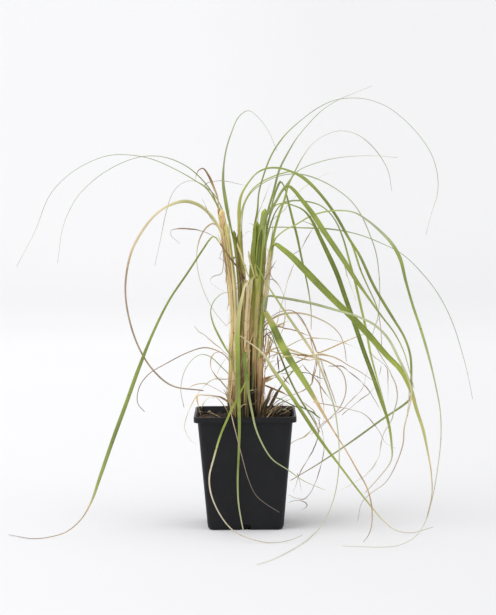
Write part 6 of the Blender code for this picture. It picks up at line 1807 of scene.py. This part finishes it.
class GRASS_OT_soil(bpy.types.Operator):
    """Make the soil and strew it with crumbs, bark chips and dead fibres"""
    bl_idname = "grass.soil"
    bl_label = "Soil and Litter"

    def execute(self, context):
        soil = context.scene.grass_clump.soil
        block = mesh_piece("potting_soil", soil_block(), soil_finish())
        settle(block, "soil_dark", "soil")
        surface = upper_faces(block.data)

        def bark(share):
            return tuple(share * channel for channel in soil.bark_colour)

        peaty = litter_finish("Soil crumbs", tuple(soil.colour), (0.060, 0.036, 0.024), 0.9)
        dark_bark = litter_finish("Dark bark", bark(0.15), bark(0.3), 0.8)
        pale_bark = litter_finish("Bark chips", bark(0.4), bark(1.0), 0.75)
        fibrous = litter_finish("Dead fibres", (0.06, 0.04, 0.025), (0.28, 0.2, 0.12), 0.7)
        crumb = grain_of("crumb", (1.0, 0.8, 0.7), 1)
        chip = chip_of("chip", (4.2, 2.6, 0.7))
        sliver = chip_of("sliver", (7.5, 0.9, 0.4))
        kinds = (
            ("soil_crumbs", crumb, "even", soil.crumb_density, 0.5, 1.9, 3.14, 0.1, 0.4, 5, peaty),
            ("bark_heap", chip, "heap", soil.chip_density * 5.5, 0.35, 1.15, 0.9, 0.5, 0.5, 11, dark_bark),
            ("bark_strip", chip, "strip", soil.chip_density * 6.0, 0.25, 0.8, 0.9, 0.4, 0.5, 17, pale_bark),
            ("bark_strewn", chip, "even", soil.chip_density, 0.2, 0.7, 0.7, 0.3, 0.4, 23, dark_bark),
            ("dead_fibres", sliver, "even", soil.fibre_density, 0.3, 1.2, 0.35, 0.5, 0.5, 29, fibrous),
        )
        for name, grain, where, density, least, most, tumble, rise, rough, seed, finish in kinds:
            piece = grow(name, surface.copy(), litter_tree(),
                         {"Grain": grain, "Where": where, "Density": density, "Least Size": least,
                          "Greatest Size": most, "Tumble": tumble, "Rise": rise * MM,
                          "Roughen": rough * MM, "Seed": seed, "Finish": finish})
            settle(piece, "soil_dark")
        for grain in (crumb, chip, sliver):
            bpy.data.objects.remove(grain)
        return {"FINISHED"}


class GRASS_OT_shoots(bpy.types.Operator):
    """Make the upright sheathed shoots and the broken stubs"""
    bl_idname = "grass.shoots"
    bl_label = "Shoots"

    def execute(self, context):
        shoots = context.scene.grass_clump.shoots
        for row in TILLERS:
            name = row[0]
            line = line_mesh(name, shoot_stations(plan_shoot(*row, stations=SHOOT_STATIONS),
                                                  pointed=not name.startswith("stub")))
            piece = grow("shoot_" + name, line, blade_tree(),
                         {"Round Steps": shoots.round_steps, "Ripple": 0.0, "Overlap": shoots.overlap,
                          "Seed": 0.0, "Finish": blade_finish()})
            turn_outwards(piece.data)
            settle(piece, "leaf_green", name)
        plans = shoot_plans()
        rng = random.Random(STRIP_SEED)
        strips = []
        rows = list(SHEATHS) + [random_strip(plans, rng) for _ in range(shoots.strips)]
        for number, row in enumerate(rows):
            name = f"sheath_strip_{number:03d}"
            strips.append(grow(name, line_mesh(name, strip_stations(plans, row, rng)), blade_tree(),
                               {"Round Steps": 8, "Ripple": 0.5, "Overlap": 0.0, "Seed": number * 1.9,
                                "Finish": blade_finish()}))
            turn_outwards(strips[-1].data)
        settle(joined("sheath_strips", strips), "leaf_tan")
        return {"FINISHED"}


class GRASS_OT_blades(bpy.types.Operator):
    """Make every blade with its sheath, channel, wavy margins and ageing tip"""
    bl_idname = "grass.blades"
    bl_label = "Blades"

    def execute(self, context):
        blades = context.scene.grass_clump.blades
        plans = shoot_plans()
        for number, row in enumerate(LEAVES):
            name = row[0]
            line = line_mesh(name, blade_stations(plans, row, number))
            piece = grow(name.replace("leaf_", "blade_", 1), line, blade_tree(),
                         {"Round Steps": blades.round_steps, "Ripple": blades.ripple, "Overlap": 0.03,
                          "Seed": number * 3.7, "Finish": blade_finish()})
            turn_outwards(piece.data)
            settle(piece, SLOTS.get(row[4], "leaf_green"), name)
        return {"FINISHED"}


class GRASS_OT_strands(bpy.types.Operator):
    """Make the thin dead curls, twigs and threads through the clump"""
    bl_idname = "grass.strands"
    bl_label = "Dead Strands"

    def execute(self, context):
        strands = context.scene.grass_clump.strands
        shoots = context.scene.grass_clump.shoots
        plans = shoot_plans()
        rng = random.Random(STRAND_SEED)
        curls = [fine_curl(plans, rng) for _ in range(shoots.curls)]
        twigs = [dead_twig(rng) for _ in range(shoots.twigs)]
        for name, rows in (("strands_left", STRANDS_LEFT), ("strands_top", STRANDS_TOP),
                           ("strands_right", STRANDS_RIGHT), ("strands_base", STRANDS_BASE),
                           ("fine_curls", curls), ("dead_twigs", twigs)):
            piece = grow(name, strand_lines(rows), strand_tree(),
                         {"Step": strands.step, "Flatness": strands.flatness, "Kink": strands.kink,
                          "Finish": blade_finish()})
            turn_outwards(piece.data, closed=False)
            settle(piece, "leaf_tan")
        return {"FINISHED"}


def paper_finish():
    """Pale paper, painted paler towards the back as painted light that makes up for the lamps' light falling
    off there, and a little darker on the right as painted shade.
    """
    stage = settings().stage
    material, tree = new_material("Pale paper sweep")
    place = object_place(tree)
    across, back, _ = parts_of(tree, place)
    # painted light: the floor colour blends into the paler backdrop colour towards the back
    colour = mixed(tree, ranged(tree, back, -0.3, 1.8), (*stage.floor_colour, 1.0),
                   (*stage.backdrop_colour, 1.0))
    # painted shade: a little darker towards the right
    colour = toned(tree, colour, ranged(tree, across, -0.15, 0.25, 1.0, 0.962))
    colour = toned(tree, colour, ranged(tree, noise_at(tree, place, 2.0), 0.3, 0.7, 0.99, 1.0))
    return end_material(material, colour, 0.85, 0.1)


def paper_sweep():
    """A floor that curves up into a wall behind the plant."""
    profile = [(-STAGE_REACH, 0.0), (COVE_START, 0.0)]
    for step in range(1, COVE_STEPS + 1):
        turn = math.radians(90 / COVE_STEPS * step)
        profile.append((COVE_START + COVE_RADIUS * math.sin(turn),
                        COVE_RADIUS - COVE_RADIUS * math.cos(turn)))
    profile.append((COVE_START + COVE_RADIUS, WALL_TOP))
    bm = bmesh.new()
    left, right = ([bm.verts.new((x, y, z)) for y, z in profile] for x in (-STAGE_REACH, STAGE_REACH))
    for i in range(len(profile) - 1):
        bm.faces.new((left[i], right[i], right[i + 1], left[i + 1]))
    return mesh_piece("backdrop", bm, paper_finish())


def add_lamp(name, place, size, power):
    """A square soft lamp that looks at the middle of the plant."""
    lamp = link_to_scene(bpy.data.objects.new(name, bpy.data.lights.new(name, "AREA")))
    lamp.data.size = size
    lamp.data.energy = power
    lamp.location = place
    aim = LAMP_AIM - Vector(place)
    lamp.rotation_euler = aim.to_track_quat("-Z", "Y").to_euler()


def white_surroundings(strength):
    world = bpy.data.worlds.new("White surroundings")
    world.use_nodes = True
    background = world.node_tree.nodes["Background"]
    background.inputs["Color"].default_value = (1.0, 1.0, 1.0, 1.0)
    background.inputs["Strength"].default_value = strength
    return world


def camera_at_viewpoint(stage):
    """A camera where the routes are seen from, looking a little down."""
    camera = link_to_scene(bpy.data.objects.new("Camera", bpy.data.cameras.new("Camera")))
    camera.data.lens = stage.lens
    camera.data.sensor_width = SENSOR_WIDTH
    camera.data.clip_start = NEAREST_SEEN
    camera.location = VIEWPOINT * MM
    look = Matrix.Rotation(math.radians(90) - stage.pitch, 4, "X") @ Matrix.Rotation(-stage.roll, 4, "Z")
    camera.rotation_euler = look.to_euler()
    return camera


class GRASS_OT_stage(bpy.types.Operator):
    """Make the pale floor, the backdrop, the soft lamps and the camera"""
    bl_idname = "grass.stage"
    bl_label = "Stage"

    def execute(self, context):
        stage = context.scene.grass_clump.stage
        paper_sweep()
        add_lamp("Key", KEY_PLACE, KEY_SIZE, stage.key_power)
        add_lamp("Fill", FILL_PLACE, FILL_SIZE, stage.fill_power)
        context.scene.world = white_surroundings(stage.sky)
        context.scene.view_settings.view_transform = "Standard"
        context.scene.camera = camera_at_viewpoint(stage)
        return {"FINISHED"}


class GrassClump(bpy.types.PropertyGroup):
    pot: PointerProperty(type=PotSettings, name="Pot", description="The nursery pot")
    soil: PointerProperty(type=SoilSettings, name="Soil", description="The soil and its litter")
    shoots: PointerProperty(type=ShootSettings, name="Shoots", description="The upright shoots")
    blades: PointerProperty(type=BladeSettings, name="Blades", description="The blades")
    strands: PointerProperty(type=StrandSettings, name="Strands", description="The dead strands")
    stage: PointerProperty(type=StageSettings, name="Stage", description="Floor, lamps and camera")


OPERATORS = (GRASS_OT_pot, GRASS_OT_soil, GRASS_OT_shoots, GRASS_OT_blades, GRASS_OT_strands, GRASS_OT_stage)


class GRASS_PT_clump(bpy.types.Panel):
    """The clump's sizes and colours, with a button for each group of pieces"""
    bl_label = "Grass Clump"
    bl_idname = "GRASS_PT_clump"
    bl_space_type = "VIEW_3D"
    bl_region_type = "UI"
    bl_category = "Grass Clump"

    def draw(self, context):
        clump = context.scene.grass_clump
        for group, operator in zip(GrassClump.__annotations__, OPERATORS):
            box = self.layout.box()
            box.operator(operator.bl_idname)
            values = getattr(clump, group)
            for key in values.__annotations__:
                box.prop(values, key)


CLASSES = (PotSettings, SoilSettings, ShootSettings, BladeSettings, StrandSettings, StageSettings,
           GrassClump, *OPERATORS, GRASS_PT_clump)


def register():
    for cls in CLASSES:
        bpy.utils.register_class(cls)
    bpy.types.Scene.grass_clump = PointerProperty(type=GrassClump)


def unregister():
    del bpy.types.Scene.grass_clump
    for cls in reversed(CLASSES):
        bpy.utils.unregister_class(cls)


def main():
    register()
    bpy.ops.grass.pot()
    bpy.ops.grass.soil()
    bpy.ops.grass.shoots()
    bpy.ops.grass.blades()
    bpy.ops.grass.strands()
    bpy.ops.grass.stage()


if __name__ == "__main__":
    main()
